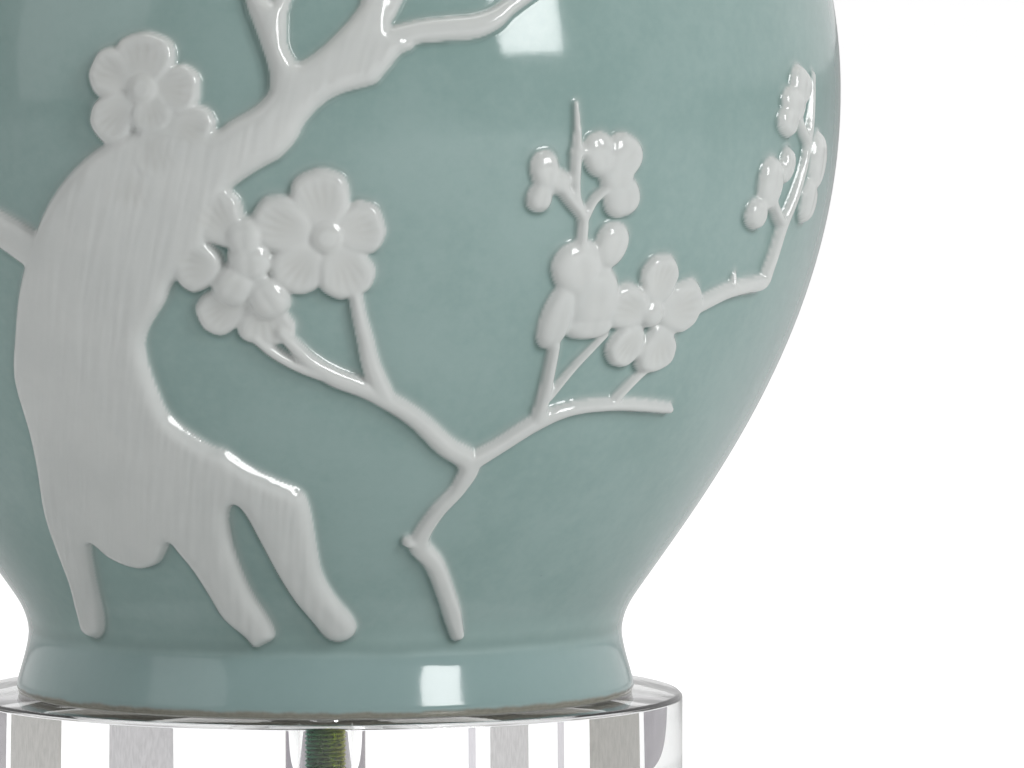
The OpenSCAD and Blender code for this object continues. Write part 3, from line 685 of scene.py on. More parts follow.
class Surface:
    """The jar's glazed outside, by angle (degrees, 0 at the front) and length up the wall."""

    def __init__(self):
        line = np.array(jar_outside(12))
        step = np.hypot(*np.diff(line, axis=0).T)
        self.s = np.concatenate([[0], np.cumsum(step)])
        self.r, self.z = line[:, 0], line[:, 1]
        slope_r, slope_z = np.gradient(self.r, self.s), np.gradient(self.z, self.s)
        size = np.hypot(slope_r, slope_z)
        self.nr, self.nz = slope_z / size, -slope_r / size

    def length_at(self, height):
        return float(np.interp(height, self.z, self.s))

    def radius(self, s):
        return np.interp(s, self.s, self.r)

    def place(self, phi, s, out):
        """Points (mm, row frame) that stand out from the glaze, and the glaze's normals."""
        r, z = np.interp(s, self.s, self.r), np.interp(s, self.s, self.z)
        nr, nz = np.interp(s, self.s, self.nr), np.interp(s, self.s, self.nz)
        a = np.radians(phi)
        flat = r + nr * out
        point = np.stack([flat * np.sin(a), -flat * np.cos(a), z + nz * out + FOOT_Z], -1)
        normal = np.stack([nr * np.sin(a), -nr * np.cos(a), nz + 0 * a], -1)
        return point, normal


class LAMP_OT_jar(bpy.types.Operator):
    """Spin the porcelain jar from its outline and bore its cord inlet"""
    bl_idname = "lamp.jar"
    bl_label = "Jar"

    def execute(self, context):
        s = context.scene.lamp_jar
        glaze = celadon_material(s)
        # rows are close at the foot and the neck, and wider on the body between them
        body_low, body_high, close_row = 24, 246, 0.9
        outside, walked = [], 0.0
        fine = jar_outside(6)
        for i, p in enumerate(fine):
            if i:
                walked += math.dist(p, fine[i - 1])
            row = s.row / MM if body_low <= p[1] <= body_high else close_row
            if not i or walked >= row or i == len(fine) - 1:
                outside.append(p)
                walked = 0.0
        face = Surface()
        inside = []
        for step in range(INSIDE_COUNT):
            z = INSIDE_TOP - step * INSIDE_STEP
            at = face.length_at(z)
            nr, nz = np.interp(at, face.s, face.nr), np.interp(at, face.s, face.nz)
            inside.append((float(face.radius(at)) - JAR_WALL * nr, z - JAR_WALL * nz))
        outline = (outside + [(42.5, 268)]
                   + bezier((42.5, 268), (40.5, 268), (39, 266), (39, 262.5), 5, 1)
                   + [(38.5, 250), (39.6, 244.6)] + inside
                   + [(64.5, 23.2), (61, 21), (7.5, 21), (7.5, 14), (60, 14), (62, 12),
                      (62, 1), (62.4, 0.2), (63, 0)])
        jar = lathe("ceramic_jar", loop([(r, z + FOOT_Z) for r, z in outline]), s.segments, 40)
        bore_z = FOOT_Z + BORE_RISE
        cut_with(jar, drill(5.1, (0, 40, bore_z), (0, 90, bore_z)))
        cut_with(jar, drill(6.7, (0, 70, bore_z), (0, 90, bore_z)))
        pick(jar)
        bpy.ops.object.shade_smooth_by_angle(angle=math.radians(40))
        finish(jar, "stand", "celadon_glaze", glaze, "ceramic_body")
        return {"FINISHED"}


# ---------------------------------------------------------------- applied relief
# Angles in degrees (0 at the front, growing to the right), heights and sizes in millimetres.

TRUNK_OUTLINE = [
    # lower edge of the leaning limb, downwards
    (9.5, 155.7), (8, 154), (7, 151.5), (6, 149), (5, 147.2), (2, 145.5), (0, 143.3), (-2, 139),
    (-3, 135), (-4.5, 131.3), (-6, 129.5), (-8, 127), (-10, 123.7), (-11.5, 118), (-12.5, 112),
    (-15, 106), (-17, 102.5),
    # right edge of the trunk
    (-18.2, 98), (-20.3, 92.5), (-21.2, 88), (-21, 82.5), (-20.5, 78), (-19.7, 73), (-18, 69.5),
    (-14.8, 65.5), (-13, 64.5), (-11.2, 62), (-9.3, 59.8), (-6.3, 57.3), (-3.4, 55),
    # front root
    (-2.4, 52.3), (-1.8, 47.7), (-1.2, 41), (-0.4, 35), (1.6, 29.7), (4.5, 25), (5.7, 22),
    (5, 19.5), (2.7, 18.2), (0, 19.3), (-2.8, 24), (-5.3, 28.5), (-7.7, 35), (-10, 43.5),
    (-11.5, 49.3), (-12.7, 51.5),
    # second root
    (-13.7, 49.5), (-14, 45), (-13.8, 40), (-13, 34), (-11.8, 28.8), (-9.8, 23.5), (-9.2, 19.5),
    (-11.5, 17.5), (-13.3, 16.8), (-15, 19.3), (-18.4, 24), (-19.8, 29), (-21.5, 35.5),
    (-23.2, 40), (-24, 42), (-25, 40), (-27, 37), (-30, 35.5), (-33, 36), (-36, 38),
    # left root and left edge, upwards
    (-38, 41), (-39.5, 38), (-41.5, 31), (-43.5, 24), (-46, 18.5), (-49, 17), (-51.5, 19),
    (-50.5, 24), (-48, 31), (-46.5, 39), (-45, 48), (-42.5, 58), (-41, 68), (-40.5, 80),
    (-38.5, 90), (-36.5, 100), (-34, 110), (-31, 120), (-27.5, 128), (-23.5, 134), (-18, 138.5),
    (-14, 138), (-11.5, 137), (-10, 139), (-7.5, 142), (-6, 145), (-5.7, 148), (-6, 152),
    # left fork, the crook, right fork
    (-7, 158), (-8.2, 165), (-7.5, 168), (-5.4, 165.6), (-3.6, 168), (-3.9, 165), (-4, 157),
    (-3.2, 153), (-2.6, 152.3), (-1.5, 153.5), (0, 156), (1.5, 159), (3, 162.5), (3.8, 165),
    (4.5, 168), (8, 169.5), (7.4, 166), (7, 159.4), (8.2, 158.6)]

# each branch: points of its middle line as (angle, height, width)
BRANCHES = [
    [(5.8, 164, 8), (7.6, 171, 7.8), (10, 178.5, 7), (14, 187, 6.4), (21, 196, 5.4),
     (30, 203, 4.4), (40, 207, 3.2)],
    [(-6.9, 164, 5), (-8, 171, 5), (-10, 178, 4.8), (-14, 186, 4.4), (-21, 195, 3.8),
     (-29, 202, 2.8)],
    [(-4.8, 164, 3.8), (-4, 172, 4), (-3.4, 182, 3.4), (-5.5, 193, 2.6)],
    [(7, 157.5, 5.2), (10, 158.9, 5.2), (13, 159.5, 5.4), (16, 160, 5.4), (18.4, 161.8, 4.6),
     (20.6, 165, 3.6), (26, 171, 3), (33, 176, 2.6), (41, 178, 2)],
    [(25, 19.5, 3.4), (23, 24.5, 4.4), (20.5, 30, 4.4), (17.3, 37, 4.6), (14.4, 41.4, 5),
     (14.6, 45, 4.2), (16.2, 50, 3.8), (18.6, 55.4, 4), (19.3, 61, 5.4), (15.5, 65.2, 5),
     (11, 72, 4.6), (5.5, 78, 4.6), (1, 81.5, 4.8), (-2, 85.5, 3.8), (-5, 92, 3)],
    [(14.6, 42.2, 4), (12.6, 42.6, 3.2)],
    [(-0.5, 82.2, 3.4), (-3.4, 84.2, 2.8), (-6, 87.2, 2.8), (-8, 90.5, 2.6)],
    [(7, 77, 5), (5.4, 84, 4.2), (4.6, 90, 3.7), (3.9, 95, 3.2), (3.3, 101, 3)],
    [(19.3, 61, 5.2), (23, 65, 4.4), (27.5, 70.2, 4.6), (32, 73, 3.8), (38, 73.6, 3.4),
     (44, 72.8, 3.2), (48.6, 71.8, 2.8)],
    [(27.5, 71, 4), (27.6, 77, 3.1), (27.6, 88, 2.8)],
    [(28.3, 76, 2.4), (31, 83, 2.1), (34.4, 90, 1.8)],
    [(38.2, 74.5, 2.6), (40.2, 78.6, 2.4), (42.4, 82, 2)],
    [(29, 108, 3), (29, 116, 2.6), (27.8, 122, 2.6), (27.6, 130, 2.8), (27.7, 136, 2),
     (27.5, 142.6, 1)],
    [(29, 116.5, 2.6), (30.2, 121, 2.4), (32.2, 124, 2.6)],
    [(28.6, 118, 2.6), (26.6, 122.4, 3), (25.4, 126, 3)],
    [(27.4, 131.5, 2.4), (30, 132.6, 2.6)],
    [(47, 95.2, 4.4), (52, 98.3, 4.2), (56, 99.4, 4), (59.8, 100, 4.2), (60.4, 103, 4),
     (60.9, 107, 3.6), (61.6, 113, 3.6), (63.4, 119.5, 3), (65.2, 127, 2.6), (66, 135, 2.6),
     (66.9, 141, 2), (67.6, 147.5, 1.5)],
    [(53.4, 99.5, 3), (53.5, 102.4, 1.4)],
    [(61.3, 113.5, 3), (59.6, 116.2, 3), (58, 119, 3)],
    [(65.6, 132, 2.6), (63.6, 135.6, 2.6), (62.4, 138.6, 2.4)],
    [(66.2, 120, 1.6), (67.4, 122.4, 2)],
    [(-27, 100, 12), (-36, 112, 9), (-46, 121, 8), (-56, 128, 7), (-66, 138, 6), (-76, 144, 5),
     (-88, 146, 4), (-100, 141, 3.4), (-114, 136, 3.4), (-128, 140, 3), (-142, 150, 2.6),
     (-154, 152, 2)],
    [(-56, 128, 5), (-60, 118, 4), (-68, 110, 3), (-77, 105, 2.4)],
    [(-66, 138, 4.4), (-67, 150, 3.6), (-72, 160, 3), (-82, 166, 2.4)],
    [(120, 20, 5.4), (117, 34, 4.8), (122, 46, 4.2), (120, 58, 4), (127, 70, 3.4), (138, 78, 3),
     (150, 81, 2.4)],
    [(120, 58, 3.6), (113, 69, 3), (112, 82, 2.4)]]

# lobes: angle, height, half length, half width, way it points (0 up, 90 right), lift
PETALS = [
    (-0.5, 122.3, 6.0, 6.0, 355, 0.25), (3.9, 115.3, 5.0, 5.5, 75, 0.1),
    (2.3, 105.2, 5.7, 5.7, 155, 0.3), (-3.0, 106.3, 5.6, 5.6, 215, 0.15),
    (-4.9, 116.2, 6.0, 5.8, 290, 0.4),
    (-11.6, 118, 5.8, 5.7, 325, 0.8), (-14.3, 107, 4.6, 5.7, 275, 0.7),
    (-11.8, 96.2, 5.4, 4.6, 235, -0.3), (-6.6, 93.2, 4.7, 5.8, 180, -0.35),
    (-19.3, 153, 5.4, 6.6, 0, 0.5), (-15.5, 146, 4.9, 5.0, 90, 0.3),
    (-18.2, 140.6, 4.4, 4.6, 170, 0.8), (-13.9, 137.4, 4.6, 4.8, 120, 0.6),
    (-17.6, 131.4, 5.8, 5.8, 170, 1.0), (-20.5, 123.2, 4.8, 5.8, 185, 0.9),
    (-23, 149.5, 5, 5.2, 290, 0.3), (-22.6, 139.5, 5.6, 5, 225, 0.7),
    (40.4, 102.8, 5.1, 4.9, 0, 0.2), (45, 95.8, 5.9, 5.8, 80, 0.4),
    (42.8, 85.7, 5.2, 5.4, 165, 0.3), (37.5, 87, 4.6, 4.6, 215, 0.1),
    (36.2, 96.3, 5.4, 4.9, 290, 0.25)]
BUDS = [
    (-8.7, 113.4, 4.8, 4.5, 0, 1.0), (-8.2, 107.8, 5.0, 5.0, 0, 1.05),
    (-9.9, 102.8, 5.6, 4.8, 215, 1.1), (-6.3, 99.8, 5.4, 4.6, 150, 1.0),
    (32.9, 110.4, 5.6, 4.5, 15, 0.1), (29, 105.3, 6.8, 6.4, 340, 0.2),
    (31.6, 98.6, 8, 7, 180, 0.45), (27.2, 94.6, 8.2, 4, 190, 0.15),
    (31.6, 92.6, 3.8, 6.6, 180, 0.0),
    (24, 127.4, 4.9, 3.5, 350, 0), (23.5, 121.8, 3.5, 3.1, 190, -0.1),
    (25.4, 125.4, 3.6, 2.9, 120, -0.3),
    (30.4, 131, 5.2, 4.2, 345, -0.1), (33.4, 130.3, 5.4, 5.4, 30, 0.1),
    (32.8, 126, 4.2, 4.7, 0, 0), (33.7, 121.5, 4.9, 5.0, 170, -0.15),
    (57.4, 122.8, 6.4, 5.0, 10, 0.1), (55.3, 116.2, 3.7, 4.1, 200, 0),
    (60.6, 126.8, 4.5, 2.9, 15, -0.1),
    (63.3, 144.8, 4.8, 5.0, 30, 0.1), (61.6, 140.6, 4.6, 5.4, 0, 0),
    (60.3, 137, 3.5, 4.4, 200, -0.1),
    (69.3, 127, 7.2, 4.6, 5, 0), (68, 118, 5.2, 4, 190, -0.1)]
# angle, height, radius, lift
BUTTONS = [(0.2, 113.5, 3.8, 0.75), (-19.2, 146, 3.6, 1.1), (40.2, 94.4, 3.2, 0.7)]
# whole five-petal blossoms: angle, height, radius, turn
BLOSSOMS = [
    (-63, 146, 11, 20), (-79, 103, 12, 0), (-85, 168, 12, 40), (-101, 138, 11, 10),
    (-128, 131, 11, 30), (-144, 157, 10, 0), (-157, 149, 12, 50), (111, 86, 11, 15),
    (151, 83, 12, 45), (135, 71, 9, 0), (43, 207, 12, 20), (23, 205, 10, 60), (44, 178, 10, 0),
    (-31, 203, 12, 30), (-6, 197, 11, 10), (-17, 182, 9, 50)]

TRUNK, BRANCH, BLOSSOM = 0, 1, 2
FAR = 99.0            # gap to a shape before any is laid
SINK = 1.0            # how far the relief's buried side lies under the glaze
SKIN = 0.035          # thickness of the glaze skirt over the jar
LOWEST, HIGHEST = 13.5, 216
PATCHES = {"front": (-66.0, 80.0), "back": (80.0, 294.0)}


def smooth_step(low, high, value):
    t = np.clip((value - low) / (high - low), 0, 1)
    return t * t * (3 - 2 * t)


def flowing(points, steps):
    """A smooth curve through points, whatever their number of coordinates."""
    p = np.array(points, float)
    closed = bool(np.allclose(p[0], p[-1]))
    before = p[-2] if closed else 2 * p[0] - p[1]
    after = p[1] if closed else 2 * p[-1] - p[-2]
    p = np.vstack([before, p, after])
    out = []
    for i in range(1, len(p) - 2):
        for t in np.arange(steps) / steps:
            a, b, c, d = p[i - 1:i + 3]
            out.append(0.5 * (2 * b + (c - a) * t + (2 * a - 5 * b + 4 * c - d) * t * t
                              + (3 * b - a - 3 * c + d) * t ** 3))
    out.append(p[-2])
    return np.array(out)


def blur(field, cells):
    """Gaussian softening over a number of cells."""
    reach = int(3 * cells) + 1
    weight = np.exp(-0.5 * (np.arange(-reach, reach + 1) / cells) ** 2)
    weight /= weight.sum()
    for axis in (0, 1):
        field = np.apply_along_axis(
            lambda line: np.convolve(np.pad(line, reach, mode="edge"), weight, "valid"),
            axis, field)
    return field


class Relief:
    """Height of the applied work over one patch of the jar, on a grid of fine cells."""

    def __init__(self, face, sizes, start, end, cell):
        self.face, self.sizes, self.cell = face, sizes, cell
        low, high = face.length_at(LOWEST), face.length_at(HIGHEST)
        rows = int((high - low) / cell) + 1
        cols = int(math.radians(end - start) * BELLY[0] / cell) + 1
        self.s = np.linspace(low, high, rows)
        self.phi = np.linspace(start, end, cols)
        self.r = face.radius(self.s)
        self.height = np.zeros((3, rows, cols))
        self.gap = np.full((3, rows, cols), FAR)
        self.hollow = np.zeros((rows, cols))

    def near(self, phi, height, reach):
        """For each copy of a point on this patch: its block of cells and local x, y in mm."""
        s = self.face.length_at(height)
        i = slice(*np.searchsorted(self.s, [s - reach, s + reach]))
        if i.stop <= i.start:
            return
        spread = math.degrees(reach / self.r[i].min())
        for lap in (-360, 0, 360):
            j = slice(*np.searchsorted(self.phi, [phi + lap - spread, phi + lap + spread]))
            if j.stop > j.start:
                y = (self.s[i] - s)[:, None]
                x = np.radians(self.phi[j] - phi - lap)[None, :] * self.r[i][:, None]
                yield i, j, x, y + 0 * x

    def lay(self, group, i, j, height, gap, hollow=None):
        """Adds one shape to a group; the higher one wins."""
        held = self.height[group, i, j]
        # the topmost shape's painted shade for its hollows is kept
        if hollow is not None:
            over = (height > held) & (height > 0.2)
            self.hollow[i, j] = np.where(over, hollow, self.hollow[i, j])
        self.height[group, i, j] = np.maximum(held, height)
        self.gap[group, i, j] = np.minimum(self.gap[group, i, j], gap)

    def branch(self, points, proud):
        line = flowing(points, 5)
        room = self.sizes.skirt / MM + 0.6
        for (pa, za, wa), (pb, zb, wb) in zip(line[:-1], line[1:]):
            sa, sb = self.face.length_at(za), self.face.length_at(zb)
            mean = float(self.face.radius((sa + sb) / 2))
            end = np.array([math.radians(pb - pa) * mean, sb - sa])
            reach = np.linalg.norm(end) + max(wa, wb) / 2 + room
            for i, j, x, y in self.near(pa, za, reach):
                along = np.clip((x * end[0] + y * end[1]) / max(end @ end, 1e-9), 0, 1)
                away = np.hypot(x - along * end[0], y - along * end[1])
                half = (wa + (wb - wa) * along) / 2
                q = np.clip(away / half, 0, 1)
                rise = proud * np.clip(half / 1.5, 0.55, 1)
                self.lay(BRANCH, i, j, rise * (1 - q ** 2.8) ** 0.55, away - half)

    def trunk(self, outline, proud):
        middle = -20.0
        edge = flowing(list(outline) + [outline[0]], 3)
        along = np.array([self.face.length_at(z) for z in edge[:, 1]])
        ex = np.radians(edge[:, 0] - middle) * self.face.radius(along)
        for i, j, x, y in self.near(middle, 90, 110):
            y = y + self.face.length_at(90)
            best = np.full(x.shape, 1e6)
            inside = np.zeros(x.shape, bool)
            for ax, ay, bx, by in zip(ex[:-1], along[:-1], ex[1:], along[1:]):
                dx, dy = bx - ax, by - ay
                t = np.clip(((x - ax) * dx + (y - ay) * dy) / max(dx * dx + dy * dy, 1e-9), 0, 1)
                best = np.minimum(best, (x - ax - t * dx) ** 2 + (y - ay - t * dy) ** 2)
                crosses = (ay > y) != (by > y)
                inside ^= crosses & (x < ax + dx * (y - ay) / (dy if abs(dy) > 1e-9 else 1e-9))
            away = np.sqrt(best)
            gap = np.where(inside, -away, away)
            fall = np.clip(1 + gap / 4.6, 0, 1)
            body = proud * np.where(inside, (1 - fall ** 2.8) ** 0.55, 0)
            deep = smooth_step(0.4, 3.0, -gap)
            body = body + deep * (self.bark(x, y) + 0.16 * np.sin(0.21 * x + 0.7)
                                  * np.sin(0.083 * y + 0.4 * np.sin(0.11 * x)))
            self.lay(TRUNK, i, j, body, gap)

    @staticmethod
    def bark(x, y):
        """Shallow combed lines that lean with the limb."""
        lean = math.radians(76)
        across = x * math.sin(lean) - y * math.cos(lean)
        along = x * math.cos(lean) + y * math.sin(lean)
        out = 0
        for k, (pace, drift, start) in enumerate(
                ((1.9, 0.07, 0.3), (2.7, 0.11, 1.9), (3.9, 0.05, 4.1), (0.9, 0.04, 2.7))):
            out = out + np.sin(pace * across + 1.6 * np.sin(drift * along + start) + start) \
                * (0.5 + 0.5 * np.sin(0.23 * along + 1.7 * k + 0.35 * across))
        return 0.052 * out

    def lobe(self, shape, rounded):
        phi, height, long, wide, way, lift = shape
        proud = self.sizes.petal / MM + lift
        way = math.radians(way)
        for i, j, x, y in self.near(phi, height, max(long, wide) * 1.5 + 3.6):
            v = (x * math.sin(way) + y * math.cos(way)) / long
            u = (x * math.cos(way) - y * math.sin(way)) / wide
            if rounded:
                u = u / (1 + 0.10 * np.clip(v, -1, 1))
                q = (np.abs(u) ** 2.2 + np.abs(v) ** 2.2) ** (1 / 2.2)
                q1 = np.clip(q, 0, 1)
                top = proud * (1 - q1 ** 3.2) ** 0.52
                top = top - 0.16 * np.exp(-(u / 0.16) ** 2) * smooth_step(-0.8, -0.4, v)
                # painted shade in the bud's middle
                shade = 0.25 * (1 - smooth_step(0.0, 0.7, q1))
            else:
                # a fan: long and narrowing towards the button, wide and slightly wavy outside
                v = np.where(v < 0, v / 1.4, v / 1.03)
                u = u / (1.13 + 0.04 * np.clip(v, 0, 1) + 0.34 * np.clip(v, -1, 0))
                round_ = np.arctan2(u, v)
                wave = 0.022 * np.cos(3 * round_ + 5 * way) + 0.014 * np.cos(7 * round_ + phi)
                q = (np.abs(u) ** 2.3 + np.abs(v) ** 2.3) ** (1 / 2.3) / (1 + wave)
                q1 = np.clip(q, 0, 1)
                bowl = 1 - smooth_step(0.12, 0.90, q1)
                base = smooth_step(0.15, 1.0, -v)
                ray = np.cos(np.arctan2(u, v + 1.6) * 40 + 0.8 * np.sin(3 * v + phi))
                comb = 0.062 * ray * (1 - smooth_step(0.62, 0.94, q1)) * smooth_step(-0.8, 0.1, v)
                top = (proud - 0.50 - 0.50 * bowl - 0.30 * base + 0.26 * u + comb) \
                    * (1 - q1 ** 7) ** 0.45
                # painted shade in the petal's dish, streaked along its ribs
                shade = bowl * (0.6 + 0.4 * np.clip(-ray, -1, 1) * smooth_step(-0.5, 0.4, v))
            gap = (q - 1) * (long + wide) / 2
            top = np.where(q < 1, np.maximum(top, 0), 0)
            self.lay(BLOSSOM, i, j, top, gap, shade)

    def button(self, phi, height, radius, lift):
        proud = self.sizes.petal / MM + lift
        for i, j, x, y in self.near(phi, height, radius + 3.4):
            away = np.hypot(x, y)
            q = np.clip(away / radius, 0, 1)
            top = (proud - 0.25) * (1 - q ** 5) ** 0.42
            top = top - 0.34 * np.exp(-((away - radius * 0.62) / 0.42) ** 2)
            top = top - 0.12 * np.exp(-((away - radius * 0.27) / 0.3) ** 2)
            # painted shade along the button's ring groove
            self.lay(BLOSSOM, i, j, np.where(q < 1, top, 0), away - radius,
                     0.5 * np.exp(-((away - radius * 0.62) / 0.5) ** 2))

    def blossom(self, phi, height, radius, turn):
        middle = self.face.length_at(height)
        for k in range(5):
            way = turn + 72 * k
            a = math.radians(way)
            s = middle + 0.55 * radius * math.cos(a)
            r = float(self.face.radius(s))
            petal = (phi + math.degrees(0.55 * radius * math.sin(a) / r),
                     float(np.interp(s, self.face.s, self.face.z)),
                     0.46 * radius, 0.47 * radius, way, 0.12 * (k % 3))
            self.lobe(petal, False)
        self.button(phi, height, 0.27 * radius, 0.6)

    def merge(self):
        """Joins the groups into one soft-edged skin and works out its points and its painted shade and
        highlight.
        """
        union = self.height.max(axis=0)
        self.gap_all = self.gap.min(axis=0)
        soft = blur(union, 0.38 / self.cell)
        claim = self.height + np.array([0.4, 0.0, 0.2])[:, None, None] * (self.height > 0.05)
        self.owner = np.where(union > 0.05, claim.argmax(axis=0), self.gap.argmin(axis=0))
        self.kept = self.gap_all < self.sizes.skirt / MM
        point, normal = self.face.place(self.phi[None, :], self.s[:, None], soft + SKIN)
        under, _ = self.face.place(self.phi[None, :], self.s[:, None], -SINK + 0 * soft)
        across = np.gradient(point, axis=1)
        upward = np.gradient(point, axis=0)
        tilt = np.cross(across, upward)
        tilt /= np.linalg.norm(tilt, axis=-1, keepdims=True)
        self.point, self.under, self.tilt, self.normal = point, under, tilt, normal + 0 * point
        slope_s, slope_x = np.gradient(blur(np.clip(self.gap_all, -6, 6), 1.2))
        slope_x = slope_x * (BELLY[0] / self.r)[:, None]
        size = np.hypot(slope_s, slope_x) + 1e-6
        # painted shade: near 1 on the relief's edges that face down and left, away from the light, near
        # 0 on those facing it
        shaded_side = 0.5 + 0.5 * (-0.55 * slope_x - 0.83 * slope_s) / size
        self.slip = smooth_step(0.16, 0.95, soft)
        edge = np.exp(-(np.clip(self.gap_all, 0, None) / 1.05) ** 2)
        fade = smooth_step(0.0, 0.5, self.sizes.skirt / MM - 0.1 - self.gap_all)
        # pooled glaze round the relief, laid mostly on the edges away from the light, so partly painted
        # shade
        self.pool = edge * fade * (1 - self.slip) * (0.18 + 0.82 * smooth_step(0.25, 0.95, shaded_side))
        # painted highlight: a pale fringe added on the relief's edges that face the light
        self.slip = np.clip(self.slip + 0.30 * edge * fade * (1 - shaded_side), 0, 1)
        # painted shade in the relief's hollows, kept only on the white relief
        self.hollow = blur(self.hollow, 0.25 / self.cell) * self.slip

    def mesh(self, group, name):
        """The closed mesh of one group: glazed top, buried underside and the walls between."""
        whole = self.kept[:-1, :-1] & self.kept[1:, :-1] & self.kept[:-1, 1:] & self.kept[1:, 1:]
        faces = whole & (self.owner[:-1, :-1] == group)
        rows, cols = np.nonzero(faces)
        if not len(rows):
            return None
        wide = self.kept.shape[1]
        at = lambda i, j: i * wide + j
        top = np.stack([at(rows, cols), at(rows, cols + 1), at(rows + 1, cols + 1),
                        at(rows + 1, cols)], -1)
        used, renumbered = np.unique(top, return_inverse=True)
        top = renumbered.reshape(top.shape)
        count = len(used)
        number = np.full(self.kept.size, -1)
        number[used] = np.arange(count)
        padded = np.pad(faces, 1)
        walls = []
        for di, dj, a, b in ((-1, 0, (0, 0), (0, 1)), (0, 1, (0, 1), (1, 1)),
                             (1, 0, (1, 1), (1, 0)), (0, -1, (1, 0), (0, 0))):
            open_side = faces & ~padded[1 + di:padded.shape[0] - 1 + di,
                                        1 + dj:padded.shape[1] - 1 + dj]
            i, j = np.nonzero(open_side)
            first, second = number[at(i + a[0], j + a[1])], number[at(i + b[0], j + b[1])]
            walls.append(np.stack([second, first, first + count, second + count], -1))
        quads = np.vstack([top, top[:, ::-1] + count] + walls)
        points = np.vstack([self.point.reshape(-1, 3)[used], self.under.reshape(-1, 3)[used]])
        normals = np.vstack([self.tilt.reshape(-1, 3)[used], -self.normal.reshape(-1, 3)[used]])
        data = bpy.data.meshes.new(name)
        data.from_pydata((points * MM).tolist(), [], quads.tolist())
        data.polygons.foreach_set("use_smooth", np.ones(len(quads), bool))
        for key, field in (("slip", self.slip), ("pool", self.pool), ("hollow", self.hollow)):
            values = field.reshape(-1)[used]
            data.attributes.new(key, "FLOAT", "POINT").data.foreach_set(
                "value", np.concatenate([values, values]).astype(np.float32))
        data.update()
        data.normals_split_custom_set_from_vertices(normals.tolist())
        piece = bpy.data.objects.new(name, data)
        bpy.context.scene.collection.objects.link(piece)
        return piece


class LAMP_OT_relief(bpy.types.Operator):
    """Raise the blossom trunk, branches and flowers from the jar's glaze"""
    bl_idname = "lamp.relief"
    bl_label = "Applied relief"

    def execute(self, context):
        s = context.scene.lamp_relief
        face = Surface()
        groups = {TRUNK: ("trunk", "relief_trunk"), BRANCH: ("branches", "relief_branches"),
                  BLOSSOM: ("blossoms", "relief_blossoms")}
        for side, (start, end) in PATCHES.items():
            cell = (s.cell if side == "front" else s.back_cell) / MM
            work = Relief(face, s, start, end, cell)
            if side == "front":
                work.trunk(TRUNK_OUTLINE, s.trunk / MM)
            for line in BRANCHES:
                work.branch(line, s.branch / MM)
            for shape in PETALS:
                work.lobe(shape, False)
            for shape in BUDS:
                work.lobe(shape, True)
            for button in BUTTONS:
                work.button(*button)
            for blossom in BLOSSOMS:
                work.blossom(*blossom)
            work.merge()
            for group, (label, node) in groups.items():
                piece = work.mesh(group, f"relief_{label}_{side}")
                if piece:
                    finish(piece, "stand", "white_glaze", material("celadon_glaze"), node)
        return {"FINISHED"}


# ---------------------------------------------------------------- stage and base

def aim(thing, target):
    thing.rotation_mode = "QUATERNION"
    thing.rotation_quaternion = (Vector(target) - thing.location).to_track_quat("-Z", "Y")


